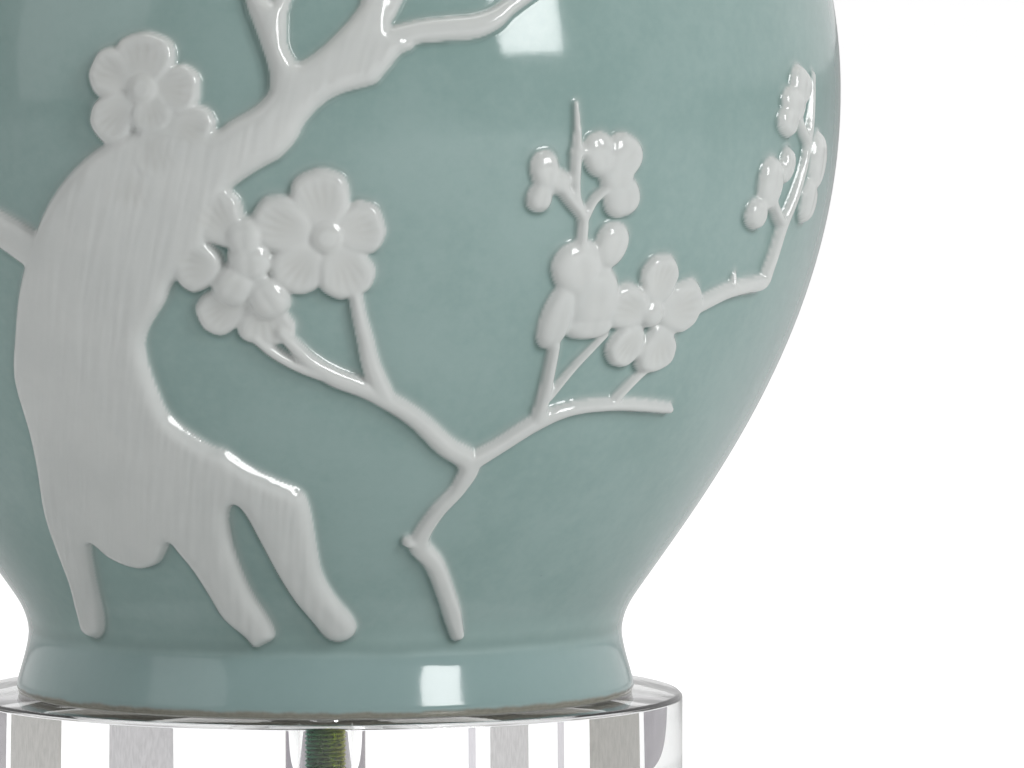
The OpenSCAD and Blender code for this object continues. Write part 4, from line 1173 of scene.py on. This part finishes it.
class LAMP_OT_stage(bpy.types.Operator):
    """Set the camera, the pale floor, the white room and the soft lights"""
    bl_idname = "lamp.stage"
    bl_label = "Stage"

    camera_at = (0.0, -2.200, 0.241)
    camera_to = (0.0442, 0.0, 0.1048)
    camera_lens = 327.7
    card_back, card_high = 0.14, 0.06
    # glowing strips behind the lamp, seen only through the clear base, that paint its dark refraction
    # bands: from x, to x (m), colour
    cards = ((0.0034, 0.0096, (0.58, 0.57, 0.58)), (-0.0078, -0.0043, (0.62, 0.61, 0.61)),
             (-0.0034, -0.0030, (0.78, 0.76, 0.80)), (-0.0135, -0.0122, (0.74, 0.72, 0.75)),
             (-0.048, -0.020, (0.42, 0.41, 0.385)), (-0.50, -0.053, (0.36, 0.34, 0.37)),
             (0.020, 0.048, (0.48, 0.47, 0.45)), (0.053, 0.50, (0.40, 0.38, 0.40)))

    def light(self, name, place, target, size, power):
        clear_selection()
        bpy.ops.object.light_add(type="AREA", location=place)
        lamp = bpy.context.object
        lamp.name = name
        lamp.data.shape = "RECTANGLE"
        lamp.data.size, lamp.data.size_y = size
        lamp.data.energy = power
        lamp.visible_camera = False
        aim(lamp, target)

    def room(self, scene, s):
        """A white backdrop all round for the camera, and a dimmer room in front of the glaze."""
        world = scene.world = bpy.data.worlds.new("studio")
        world.use_nodes = True
        tree = world.node_tree
        tree.nodes.clear()
        out, seen, room, mix, path, facing, split, ramp = (
            tree.nodes.new("ShaderNode" + kind)
            for kind in ("OutputWorld", "Background", "Background", "MixShader", "LightPath",
                         "TexCoord", "SeparateXYZ", "MapRange"))
        ramp.interpolation_type = "SMOOTHSTEP"
        for key, value in (("From Min", -0.55), ("From Max", 0.60),
                           ("To Min", s.world_front), ("To Max", s.world_back)):
            ramp.inputs[key].default_value = value
        seen.inputs["Strength"].default_value = 1.05
        for source, target in (
                (facing.outputs["Generated"], split.inputs[0]),
                (split.outputs["Y"], ramp.inputs["Value"]),
                (ramp.outputs[0], room.inputs["Strength"]),
                (path.outputs["Is Camera Ray"], mix.inputs[0]),
                (room.outputs[0], mix.inputs[1]), (seen.outputs[0], mix.inputs[2]),
                (mix.outputs[0], out.inputs["Surface"])):
            tree.links.new(source, target)

    def execute(self, context):
        scene = context.scene
        s = scene.lamp_stage
        scene.view_settings.view_transform = "Standard"
        scene.view_settings.look = "None"
        clear_selection()
        bpy.ops.object.camera_add(location=self.camera_at)
        camera = bpy.context.object
        camera.data.sensor_width = 36.0
        camera.data.lens = self.camera_lens
        camera.data.clip_start, camera.data.clip_end = 0.05, 200.0
        aim(camera, self.camera_to)
        scene.camera = camera
        bpy.ops.mesh.primitive_circle_add(vertices=96, radius=s.floor_radius, fill_type="NGON")
        floor = bpy.context.object
        floor.name = "floor"
        floor.data.materials.append(floor_material(s))
        for start, end, grey in self.cards:
            middle = ((start + end) / 2, self.card_back, self.card_high / 2)
            bpy.ops.mesh.primitive_plane_add(size=1, location=middle,
                                             rotation=(math.pi / 2, 0, 0))
            card = bpy.context.object
            card.name = "painted_band_card"
            card.scale = (end - start, self.card_high, 1)
            card.data.materials.append(card_material(grey))
            for kind in ("camera", "diffuse", "glossy", "shadow"):
                setattr(card, "visible_" + kind, False)
        self.room(scene, s)
        middle = (0.0, 0.0, 0.15)
        self.light("key_soft_box", (1.06, -1.06, 0.78), middle, (0.42, 0.80), s.key_power)
        self.light("left_panel", (-1.7, -1.2, 0.9), middle, (1.2, 1.6), s.fill_power)
        self.light("top_panel", (0.1, -0.1, 2.4), (0, 0, 0.2), (1.8, 1.8), s.top_power)
        return {"FINISHED"}


class LAMP_OT_base(bpy.types.Operator):
    """Turn the clear acrylic base and its bumper feet"""
    bl_idname = "lamp.base"
    bl_label = "Acrylic base"

    def execute(self, context):
        s = context.scene.lamp_base
        outer, recess, deep, edge = corner("acrylic_base", 1, 0), 16, 9, 0.9
        low, high = BUMPER_H, FOOT_Z
        outline = [(recess, low), (outer - 1, low), (outer, low + 1), (outer, high - edge),
                   (outer - edge, high), (BASE_BORE, high), (BASE_BORE, low + deep),
                   (recess, low + deep)]
        block = lathe("acrylic_block", loop(eased(outline, 0.35)), 256, 28)
        finish(block, "stand", "clear_acrylic", acrylic_material(s), "acrylic_base")
        rubber = bumper_material()
        at = (corner("bumper_front_right", 0, 0) + corner("bumper_front_right", 1, 0)) / 2
        for side_y, label_y in ((-1, "front"), (1, "back")):
            for side_x, label_x in ((-1, "left"), (1, "right")):
                dot = lathe(f"bumper_foot_{label_y}_{label_x}",
                            [(0, 0)] + eased([(0, 0), (5.2, 0), (6, 2), (0, 2)], 0.5)[1:],
                            40, 40, (side_x * at, side_y * at))
                finish(dot, "stand", "clear_rubber", rubber, f"bumper_{label_y}_{label_x}")
        return {"FINISHED"}


class LAMP_OT_rod(bpy.types.Operator):
    """Wind the threaded lamp pipe and cut the nut under the base"""
    bl_idname = "lamp.rod"
    bl_label = "Threaded pipe"

    def execute(self, context):
        s = context.scene.lamp_base
        zinc = zinc_material(s)
        low, high = corner("threaded_rod", 0, 2), corner("threaded_rod", 1, 2)
        crest, root, bore, steps = 4.95, 4.42, 3.6, 20
        rod = threaded("lamp_pipe", low, high, crest, root, s.pitch / MM, steps, bore)
        finish(rod, "stand", "zinc_plated", zinc, "threaded_rod")
        nut_low, nut_high = corner("base_nut", 0, 2), corner("base_nut", 1, 2)
        nut = hex_nut("nut_under_base", 16, PIPE_BORE, nut_low, nut_high - nut_low)
        finish(nut, "stand", "zinc_plated", zinc, "base_nut")
        return {"FINISHED"}


# ---------------------------------------------------------------- fittings above the jar

class LAMP_OT_neck(bpy.types.Operator):
    """Turn the brass cap, spacer and check ring, and bend the harp saddle"""
    bl_idname = "lamp.neck"
    bl_label = "Neck fittings"

    def cap(self):
        z, rim = CAP_Z, corner("vase_cap", 1, 0)
        top = ([(rim, z - 4.5)]
               + bezier((rim, z - 1), (rim, z + 0.6), (51.6, z + 1.2), (50, z + 1.2), 6)
               + bezier((43, z + 1.2), (34, z + 1.2), (30, z + 10.5), (18, z + 10.5), 20)
               + [(5.2, z + 10.5)])
        under = ([(5.2, z + 9.3)]
                 + bezier((18, z + 9.3), (29.2, z + 9.3), (33.4, z), (43, z), 20)
                 + bezier((50, z), (50.7, z), (51.2, z - 0.4), (51.2, z - 1), 4)
                 + [(51.2, z - 4.5)])
        return lathe("vase_cap_brass", loop(eased(top + under, 0.4)), 144, 34)

    def saddle(self):
        """A strip with turned-up prongs: one side drawn, mirrored, then given its thickness."""
        bend, prong, half = 9.0, 29.0, 6.0
        path = [(0, SADDLE_Z), (prong - bend, SADDLE_Z)]
        for k in range(1, 9):
            a = math.radians(k * 90 / 8)
            path.append((prong - bend + bend * math.sin(a), SADDLE_Z + bend * (1 - math.cos(a))))
        path += [(prong, SADDLE_Z + bend + 1.5), (prong, PRONG_TOP - 2), (prong, PRONG_TOP)]
        strip = lone_vertex("harp_saddle_brass", 0, -half, SADDLE_Z)
        draw_out((0, 2 * half * MM, 0))
        bpy.ops.mesh.select_all(action="SELECT")
        for (ax, az), (bx, bz) in zip(path[:-1], path[1:]):
            draw_out(((bx - ax) * MM, 0, (bz - az) * MM))
        bpy.ops.object.mode_set(mode="OBJECT")
        # the prongs narrow between these two heights
        wide, narrow = SADDLE_Z + 5, SADDLE_Z + 9.5
        for v in strip.data.vertices:
            lift = (v.co.z / MM - wide) / (narrow - wide)
            v.co.y *= 1 - (1 - 2 / half) * max(0.0, min(1.0, lift))
        mirror = strip.modifiers.new("other_side", "MIRROR")
        mirror.use_axis = (True, False, False)
        mirror.merge_threshold = 1e-5
        apply_all(strip)
        tidy_mesh(strip)
        # the strip's inner face looks up and inwards, so its thickness grows that way
        if sum(p.normal.z * p.area for p in strip.data.polygons) < 0:
            strip.data.flip_normals()
        thick = strip.modifiers.new("thickness", "SOLIDIFY")
        thick.thickness, thick.offset = 1.8 * MM, 1.0
        soft = strip.modifiers.new("edges", "BEVEL")
        soft.width, soft.segments, soft.limit_method = 0.35 * MM, 2, "ANGLE"
        apply_all(strip)
        cut_with(strip, drill(5.2, (0, 0, SADDLE_Z - 2), (0, 0, SADDLE_Z + 4)))
        return tidy_mesh(strip, 1e-7, 35)

    def execute(self, context):
        s = context.scene.lamp_fittings
        brass = metal_material("brass", list(s.brass), (0.42, 0.27, 0.12))
        nickel = metal_material("nickel", list(s.nickel), (0.36, 0.34, 0.31))
        black = dull_material("black_rubber", (0.020, 0.020, 0.021), (0.034, 0.034, 0.035))
        finish(self.cap(), "stand", "brass", brass, "vase_cap")
        z = SPACER_Z
        spacer = ([(5.3, z), (15, z), (15, z + 2.2), (13.4, z + 3)]
                  + bezier((13.4, z + 3), (8, z + 5), (7.4, z + 10), (8.4, z + 15), 16, 1)
                  + [(11.2, z + 17), (12, z + 18.4), (12, z + 22), (5.3, z + 22)])
        finish(lathe("neck_spacer_brass", loop(eased(spacer, 0.5)), 96, 34), "stand", "brass",
               brass, "neck_spacer")
        finish(self.saddle(), "stand", "brass", brass, "harp_saddle")
        finish(hex_nut("saddle_nut_brass", 14, PIPE_BORE, NUT_Z, 3.5), "stand", "brass", brass,
               "saddle_nut")
        low = corner("check_ring", 0, 2)
        ring = [(5.2, low), (14, low), (14, low + 2), (5.2, low + 2)]
        finish(lathe("check_ring_brass", loop(eased(ring, 0.4)), 96, 34), "stand", "brass", brass,
               "check_ring")
        carried(black, "centring_washer", "cap_gasket")
        carried(nickel, "base_washer")
        return {"FINISHED"}


class LAMP_OT_bushing(bpy.types.Operator):
    """Turn the rubber cord bushing at the back of the foot"""
    bl_idname = "lamp.bushing"
    bl_label = "Cord bushing"

    def execute(self, context):
        near, far = corner("cord_bushing", 0, 1), corner("cord_bushing", 1, 1)
        mid = (corner("cord_bushing", 0, 2) + corner("cord_bushing", 1, 2)) / 2
        outline = [(3.2, near), (5, near), (5, 70), (6.5, 70), (6.5, far - 0.8), (5.4, far),
                   (3.2, far)]
        piece = lathe("cord_bushing_rubber", loop(eased(outline, 0.5)), 64, 40)
        piece.rotation_euler = (-math.pi / 2, 0, 0)
        piece.location = (0, 0, mid * MM)
        settle(piece)
        finish(tidy_mesh(piece, smooth=40), "stand", "black_rubber", material("black_rubber"),
               "cord_bushing")
        return {"FINISHED"}


class LAMP_OT_socket(bpy.types.Operator):
    """Turn the brass socket with its liner, insides and terminals"""
    bl_idname = "lamp.socket"
    bl_label = "Socket"

    def execute(self, context):
        brass, nickel = material("brass"), material("nickel")
        z, shell_r = SOCK_Z, 16.5
        rim = corner("socket_cap", 1, 2)
        cap = ([(8, z)] + bezier((8, z + 8), (9, z + 14), (shell_r + 0.8, z + 12),
                                 (shell_r + 0.8, z + 20), 18)
               + [(shell_r + 0.8, rim), (shell_r + 0.1, rim)]
               + bezier((shell_r + 0.1, z + 20), (shell_r + 0.1, z + 13.4), (9, z + 15.4),
                        (6.6, z + 9.4), 18)
               + [(PIPE_BORE, z + 8.6), (PIPE_BORE, z)])
        piece = lathe("socket_cap_brass", loop(eased(cap, 0.3)), 96, 34)
        cut_with(piece, drill(1.6, (0, 4, z + 4.2), (0, 14, z + 4.2), 24))
        tidy_mesh(piece, 1e-7, 34)
        finish(piece, "stand", "brass", brass, "socket_cap")
        z, top = SHELL_Z, corner("socket_shell", 1, 2)
        shell = [(shell_r, z), (shell_r, z + 5), (17.1, z + 6), (17.1, z + 7.4),
                 (shell_r, z + 8.4), (shell_r, z + 30.5), (17, z + 31.5), (17, z + 32.7),
                 (shell_r, z + 33.7), (shell_r, top - 1.8), (17, top - 0.8), (16.6, top),
                 (shell_r - 0.6, top), (shell_r - 0.6, z)]
        piece = lathe("socket_shell_brass", loop(eased(shell, 0.4)), 96, 34)
        cut_with(piece, drill(4.2, (0, -10, SWITCH_Z), (0, -20, SWITCH_Z), 40))
        tidy_mesh(piece, 1e-7, 34)
        finish(piece, "stand", "brass", brass, "socket_shell")
        carried(dull_material("fibre_board", (0.33, 0.22, 0.12), (0.44, 0.31, 0.18), (0.7, 0.85),
                              300, stretch=(1, 1, 0.2)), "socket_liner")
        carried(dull_material("phenolic", (0.075, 0.032, 0.018), (0.115, 0.050, 0.028),
                              (0.25, 0.4), 120), "socket_interior")
        carried(brass, "screw_shell", "centre_contact", "terminal_screw_left", "set_screw",
                "switch_bushing")
        carried(nickel, "terminal_screw_right")
        return {"FINISHED"}


class LAMP_OT_switch(bpy.types.Operator):
    """Shape the fluted switch knob and its stem"""
    bl_idname = "lamp.switch"
    bl_label = "Turn switch"

    def execute(self, context):
        near, far = -corner("switch_knob", 1, 1), -corner("switch_knob", 0, 1)
        flutes, steps = 12, 96
        outline = [(0, near), (5.2, near), (6.2, near + 1), (6.1, near + 2.4), (5.9, near + 6),
                   (5.7, near + 10), (5.6, near + 12), (4.8, far), (0, far)]
        knob = lathe("switch_knob_fluted", [outline[0]] + eased(outline, 0.6)[1:], steps, 40)
        for v in knob.data.vertices:
            turn = math.atan2(v.co.y, v.co.x)
            deep = max(0.0, math.cos(turn * flutes)) ** 2
            r = math.hypot(v.co.x, v.co.y) / MM
            z = v.co.z / MM
            if r > 4.6 and z > near + 2:
                scale = 1 - 0.105 * deep * min(1.0, (z - near - 2) / 0.8)
                v.co.x *= scale
                v.co.y *= scale
        knob.rotation_euler = (math.pi / 2, 0, 0)
        knob.location = (0, 0, SWITCH_Z * MM)
        settle(knob)
        tidy_mesh(knob, smooth=40)
        plastic = dull_material("black_plastic", (0.014, 0.014, 0.015), (0.024, 0.024, 0.025),
                                (0.18, 0.30), 160, 0.0001)
        finish(knob, "switch", "black_plastic", plastic, "switch_knob")
        carried(material("brass"), "switch_stem")
        return {"FINISHED"}


class LAMP_OT_bulb(bpy.types.Operator):
    """Blow the frosted globe and roll the screw cap's thread"""
    bl_idname = "lamp.bulb"
    bl_label = "Bulb"

    def execute(self, context):
        s = context.scene.lamp_fittings
        top = corner("bulb_globe", 1, 2)
        big = (corner("bulb_globe", 1, 0) - corner("bulb_globe", 0, 0)) / 2
        mid, z = top - big, BULB_Z + 24
        glass = ([(12.3, z - 4), (12.3, z + 3)]
                 + bezier((12.8, z + 4.5), (14.4, z + 14), (big, z + 20), (big, mid), 30)
                 + bezier((big, mid), (big, mid + 16.6), (16.6, top), (0, top), 30, 1)
                 + bezier((0, top - 1), (16, top - 1), (big - 1, mid + 16), (big - 1, mid), 20)
                 + bezier((big - 1, mid), (big - 1, z + 20.8), (13.4, z + 14.6), (11.8, z + 4.9),
                          20, 1)
                 + [(11.3, z + 3), (11.3, z - 4)])
        globe = lathe("bulb_glass", loop(glass), 128, 40)
        finish(globe, "bulb", "frosted_glass", bulb_material(s), "bulb_globe")
        low, high = corner("bulb_cap", 0, 2), corner("bulb_cap", 1, 2)
        cap = self.rolled_cap(low, high)
        finish(cap, "bulb", "nickel", material("nickel"), "bulb_cap")
        carried(material("nickel"), "bulb_contact")
        carried(dull_material("black_glass", (0.008, 0.008, 0.010), (0.016, 0.016, 0.018),
                              (0.05, 0.12), 90, 0.0001), "bulb_insulator")
        return {"FINISHED"}

    def rolled_cap(self, low, high):
        """A thin cap whose wall waves in and out along a screw line."""
        outline = [(12.35, low)] + [(12.9, low + 1 + 0.3 * k) for k in range(64)] \
            + [(13.1, high - 1.2), (13.3, high - 0.4), (13.0, high), (12.5, high - 0.6),
               (12.4, low + 2), (12.1, low + 0.6)]
        cap = lathe("bulb_screw_cap", loop(outline), 72, 60)
        pitch, start, end = 3.62, low + 2.2, low + 18.6
        for v in cap.data.vertices:
            r, z = math.hypot(v.co.x, v.co.y) / MM, v.co.z / MM
            if r < 12.7 or not start - 1 < z < end + 1:
                continue
            turn = math.atan2(v.co.y, v.co.x) / TURN
            wave = math.cos(TURN * (z / pitch - turn))
            hold = min(1, max(0, z - start + 1)) * min(1, max(0, end + 1 - z))
            scale = 1 + (0.36 * wave - 0.08) * hold / r
            v.co.x *= scale
            v.co.y *= scale
        return tidy_mesh(cap, 1e-7, 60)


class LAMP_OT_harp(bpy.types.Operator):
    """Bend the harp wire, turn its stud and the two ferrules"""
    bl_idname = "lamp.harp"
    bl_label = "Harp"

    def execute(self, context):
        brass = material("brass")
        foot, wide = 28.1, corner("harp_wire", 1, 0) - HARP_WIRE
        half = ([(foot, HARP_Z), (foot, HARP_Z + 6), (foot, HARP_Z + 12)]
                + bezier((foot, HARP_Z + 24), (foot, HARP_Z + 42), (wide, HARP_Z + 58),
                         (wide, HARP_Z + 94), 24)
                + bezier((wide, HARP_Z + 94), (wide, HARP_TOP - 46), (36, HARP_TOP),
                         (7, HARP_TOP), 30, 1) + [(0, HARP_TOP)])
        path = [(x, 0, z) for x, z in half] + [(-x, 0, z) for x, z in half[-2::-1]]
        wire = rod_along("harp_wire_brass", path, HARP_WIRE, 5)
        finish(wire, "harp", "brass", brass, "harp_wire")
        z, low, high = HARP_TOP + 4, HARP_TOP - 4, corner("harp_stud", 1, 2)
        stud = [(0, low), (4, low), (5, low + 1), (5, z), (3.15, z), (3.15, high - 0.6),
                (2.5, high), (0, high)]
        piece = lathe("harp_stud_brass", [stud[0]] + eased(stud, 0.3)[1:], 64, 34)
        finish(piece, "harp", "brass", brass, "harp_stud")
        z = SADDLE_Z + 10
        for side, label in ((-1, "left"), (1, "right")):
            outline = [(2.6, z), (4, z), (4.4, z + 1), (4.4, z + 2.4), (3.9, z + 3.2),
                       (3.9, z + 11.8), (4.4, z + 12.6), (4.4, z + 14), (4, z + 15), (2.6, z + 15)]
            sleeve = lathe(f"ferrule_{label}_brass", loop(eased(outline, 0.35)), 64, 34,
                           (side * foot, 0))
            finish(sleeve, f"ferrule_{label[0]}", "brass", brass, f"ferrule_{label}")
        return {"FINISHED"}


class LAMP_OT_finial(bpy.types.Operator):
    """Turn the finial's brass base and its clear acrylic ball"""
    bl_idname = "lamp.finial"
    bl_label = "Finial"

    def execute(self, context):
        z = FINIAL_Z
        top = corner("finial_base", 1, 2)
        base = [(3.45, z), (6.5, z), (6.5, z + 1.6), (5.2, z + 3), (4.9, z + 5.4), (4.9, z + 8),
                (5.6, z + 10.4), (6.9, z + 12), (6.9, top), (0, top), (0, z + 10.6),
                (3.45, z + 10.6)]
        piece = lathe("finial_base_brass", loop(eased(base, 0.35)), 80, 34)
        finish(piece, "finial", "brass", material("brass"), "finial_base")
        high = corner("finial_knob", 1, 2)
        ball = (corner("finial_knob", 1, 0) - corner("finial_knob", 0, 0)) / 2
        mid = high - ball
        start = math.asin((top - mid) / ball)
        arc = [(0, top)] + [(ball * math.cos(a), mid + ball * math.sin(a))
                            for a in np.linspace(start, math.pi / 2, 64)]
        arc[-1] = (0, high)
        knob = lathe("finial_ball_clear", arc, 128, 40)
        finish(knob, "finial", "clear_acrylic", material("clear_acrylic"), "finial_knob")
        return {"FINISHED"}


# ---------------------------------------------------------------- shade

def cloth_map(piece, mean_radius, slant):
    """UV in metres: u along the hem, v up the slant; the join falls at the back seam."""
    data = piece.data
    layer = data.uv_layers.new(name="cloth") if not data.uv_layers else data.uv_layers[0]
    for face in data.polygons:
        middle = math.atan2(face.center.x, -face.center.y)
        for corner_ in face.loop_indices:
            v = data.vertices[data.loops[corner_].vertex_index].co
            turn = math.atan2(v.x, -v.y)
            turn += TURN * round((middle - turn) / TURN)
            layer.data[corner_].uv = (turn * mean_radius * MM,
                                      (v.z - SHADE_BOTTOM * MM) * slant)


class LAMP_OT_shade(bpy.types.Operator):
    """Roll the linen shade: cover with a lapped seam, liner, trims, spider and lower ring"""
    bl_idname = "lamp.shade"
    bl_label = "Shade"

    steps = 240
    # millimetres: the shade's radii, its layers, the folded tape and the wire frame
    top_radius, bottom_radius = 163.0, corner("shade_cover", 1, 0)
    cover, liner, trim_proud, trim_wide = 0.8, 0.6, 0.5, 8.0
    wire, slack, wire_inset = 1.6, 0.25, 2.4

    def radius(self, z):
        bottom = self.bottom_radius
        return bottom + (z - SHADE_BOTTOM) * (self.top_radius - bottom) / (SHADE_TOP - SHADE_BOTTOM)

    def hoop_radius(self, z):
        return self.radius(z) - self.cover - self.liner - self.wire - self.slack

    def hoop(self, name, z):
        """A round of wire just inside the liner."""
        r = self.hoop_radius(z)
        return rod_along(name, [(r * math.cos(a), r * math.sin(a), z)
                                for a in np.linspace(0, TURN, 180, endpoint=False)],
                         self.wire, 4, closed=True)

    def skin(self, name, out, thick, rows):
        zs = np.linspace(SHADE_BOTTOM, SHADE_TOP, rows)
        outer = [(self.radius(z) - out, z) for z in zs]
        inner = [(self.radius(z) - out - thick, z) for z in zs[::-1]]
        return lathe(name, loop(outer + inner), self.steps, 30)

    def seam(self, wide):
        """The lapped edge of the cloth, a narrow strip standing on the cover at the back."""
        clear_selection()
        bpy.ops.mesh.primitive_grid_add(x_subdivisions=8, y_subdivisions=40, size=1)
        strip = bpy.context.object
        for v in strip.data.vertices:
            z = SHADE_BOTTOM + 1.5 + (v.co.y + 0.5) * (SHADE_TOP - SHADE_BOTTOM - 3)
            drift = 0.35 * math.sin(z * 0.045) + 0.2 * math.sin(z * 0.19)
            r = self.radius(z) + 0.02
            a = (v.co.x * (wide / MM) + drift) / r
            v.co = Vector((-r * math.sin(a), r * math.cos(a), z)) * MM
        thick = strip.modifiers.new("cloth", "SOLIDIFY")
        thick.thickness, thick.offset = 0.35 * MM, 0.0
        edge = strip.modifiers.new("edge", "BEVEL")
        edge.width, edge.segments, edge.limit_method = 0.12 * MM, 2, "ANGLE"
        apply_all(strip)
        strip.name = strip.data.name = "shade_seam"
        return tidy_mesh(strip, 1e-7, 40)

    def trim(self, name, z, up):
        """Folded tape over the shade's edge, with soft rolled edges."""
        way = -1 if up else 1
        far = z + way * self.trim_wide
        thin = self.trim_proud
        outer = [(self.radius(far), far), (self.radius(far) + thin * 0.8, far - way * 0.1)]
        outer += [(self.radius(z + way * t) + thin * (1 + 0.12 * math.sin(t * 1.3)), z + way * t)
                  for t in (7, 6, 5, 4, 3, 2, 1)]
        outer += [(self.radius(z) + thin * 0.7, z - way * thin * 0.5), (self.radius(z), z - way * thin)]
        inside = self.radius(z) - self.cover - self.liner
        outer += [(inside + 0.4, z - way * thin), (inside, z - way * thin * 0.6),
                  (inside, z), (self.radius(z), z)]
        return lathe(name, loop(outer), self.steps, 50)

    def spider(self):
        """The upper hoop, its three arms and the bored hub on the harp's stud."""
        ring_z = SHADE_TOP - self.wire_inset
        ring, ring_r = self.hoop("ring", ring_z), self.hoop_radius(ring_z)
        low = HUB_Z
        hub = lathe("hub", loop(eased([(3.5, low), (12, low), (12, low + 2), (3.5, low + 2)],
                                      0.4)), 64, 34)
        parts = [hub, ring]
        for k in range(3):
            a = math.radians(90 + 120 * k)
            points = []
            for t in np.linspace(0, 1, 24):
                run = 9.6 + (ring_r - 10.3) * t
                z = low + 1.3 + (ring_z - low - 1.6) * t
                points.append((run * math.cos(a), run * math.sin(a), z))
            parts.append(rod_along("arm", points, self.wire, 4))
        return join(parts, "shade_spider_brass")

    def execute(self, context):
        s = context.scene.lamp_shade
        brass = material("brass")
        lean = (self.bottom_radius - self.top_radius) / (SHADE_TOP - SHADE_BOTTOM)
        slant = math.sqrt(1 + lean * lean)
        mean = (self.bottom_radius + self.top_radius) / 2
        linen = linen_material("linen", s.linen, s.thread)
        tape = linen_material("linen_tape", s.trim, s.thread)
        cover = self.skin("linen_cover", 0, self.cover, 25)
        cloth_map(cover, mean, slant)
        finish(cover, "shade", "linen", linen, "shade_cover")
        seam = self.seam(s.seam)
        cloth_map(seam, mean, slant)
        finish(seam, "shade", "linen", linen)
        liner = self.skin("styrene_liner", self.cover + 0.02, self.liner - 0.02, 13)
        finish(liner, "shade", "styrene", liner_material(), "shade_liner")
        for label, z, up in (("top", SHADE_TOP, True), ("bottom", SHADE_BOTTOM, False)):
            tape_piece = self.trim(f"trim_{label}_tape", z, up)
            cloth_map(tape_piece, mean, slant)
            finish(tape_piece, "shade", "linen", tape, f"trim_{label}")
        finish(self.spider(), "shade", "brass", brass, "shade_spider")
        finish(self.hoop("shade_lower_ring", SHADE_BOTTOM + self.wire_inset), "shade", "brass",
               brass, "shade_bottom_ring")
        return {"FINISHED"}


# ---------------------------------------------------------------- panel and registration

STEPS = (("stage", "lamp_stage"), ("jar", "lamp_jar"), ("relief", "lamp_relief"),
         ("base", "lamp_base"), ("rod", None), ("neck", "lamp_fittings"), ("bushing", None),
         ("socket", None), ("switch", None), ("bulb", None), ("harp", None), ("finial", None),
         ("shade", "lamp_shade"))


class LAMP_PT_panel(bpy.types.Panel):
    """Lists the lamp's settings and the steps that build it"""
    bl_idname = "LAMP_PT_panel"
    bl_label = "Blossom Jar Table Lamp"
    bl_space_type = "VIEW_3D"
    bl_region_type = "UI"
    bl_category = "Lamp"

    def draw(self, context):
        for step, group in STEPS:
            box = self.layout.box()
            if group:
                settings = getattr(context.scene, group)
                for key in settings.__annotations__:
                    box.prop(settings, key)
            box.operator("lamp." + step)


GROUPS = {"lamp_stage": LampStage, "lamp_jar": LampJar, "lamp_relief": LampRelief,
          "lamp_base": LampBase, "lamp_fittings": LampFittings, "lamp_shade": LampShade}
CLASSES = (*GROUPS.values(), LAMP_OT_stage, LAMP_OT_jar, LAMP_OT_relief, LAMP_OT_base,
           LAMP_OT_rod, LAMP_OT_neck, LAMP_OT_bushing, LAMP_OT_socket, LAMP_OT_switch,
           LAMP_OT_bulb, LAMP_OT_harp, LAMP_OT_finial, LAMP_OT_shade, LAMP_PT_panel)


def register():
    for made in CLASSES:
        bpy.utils.register_class(made)
    for key, group in GROUPS.items():
        setattr(bpy.types.Scene, key, PointerProperty(type=group))


def unregister():
    for key in GROUPS:
        delattr(bpy.types.Scene, key)
    for made in reversed(CLASSES):
        bpy.utils.unregister_class(made)


def main():
    register()
    for step, _ in STEPS:
        getattr(bpy.ops.lamp, step)()


if __name__ == "__main__":
    main()
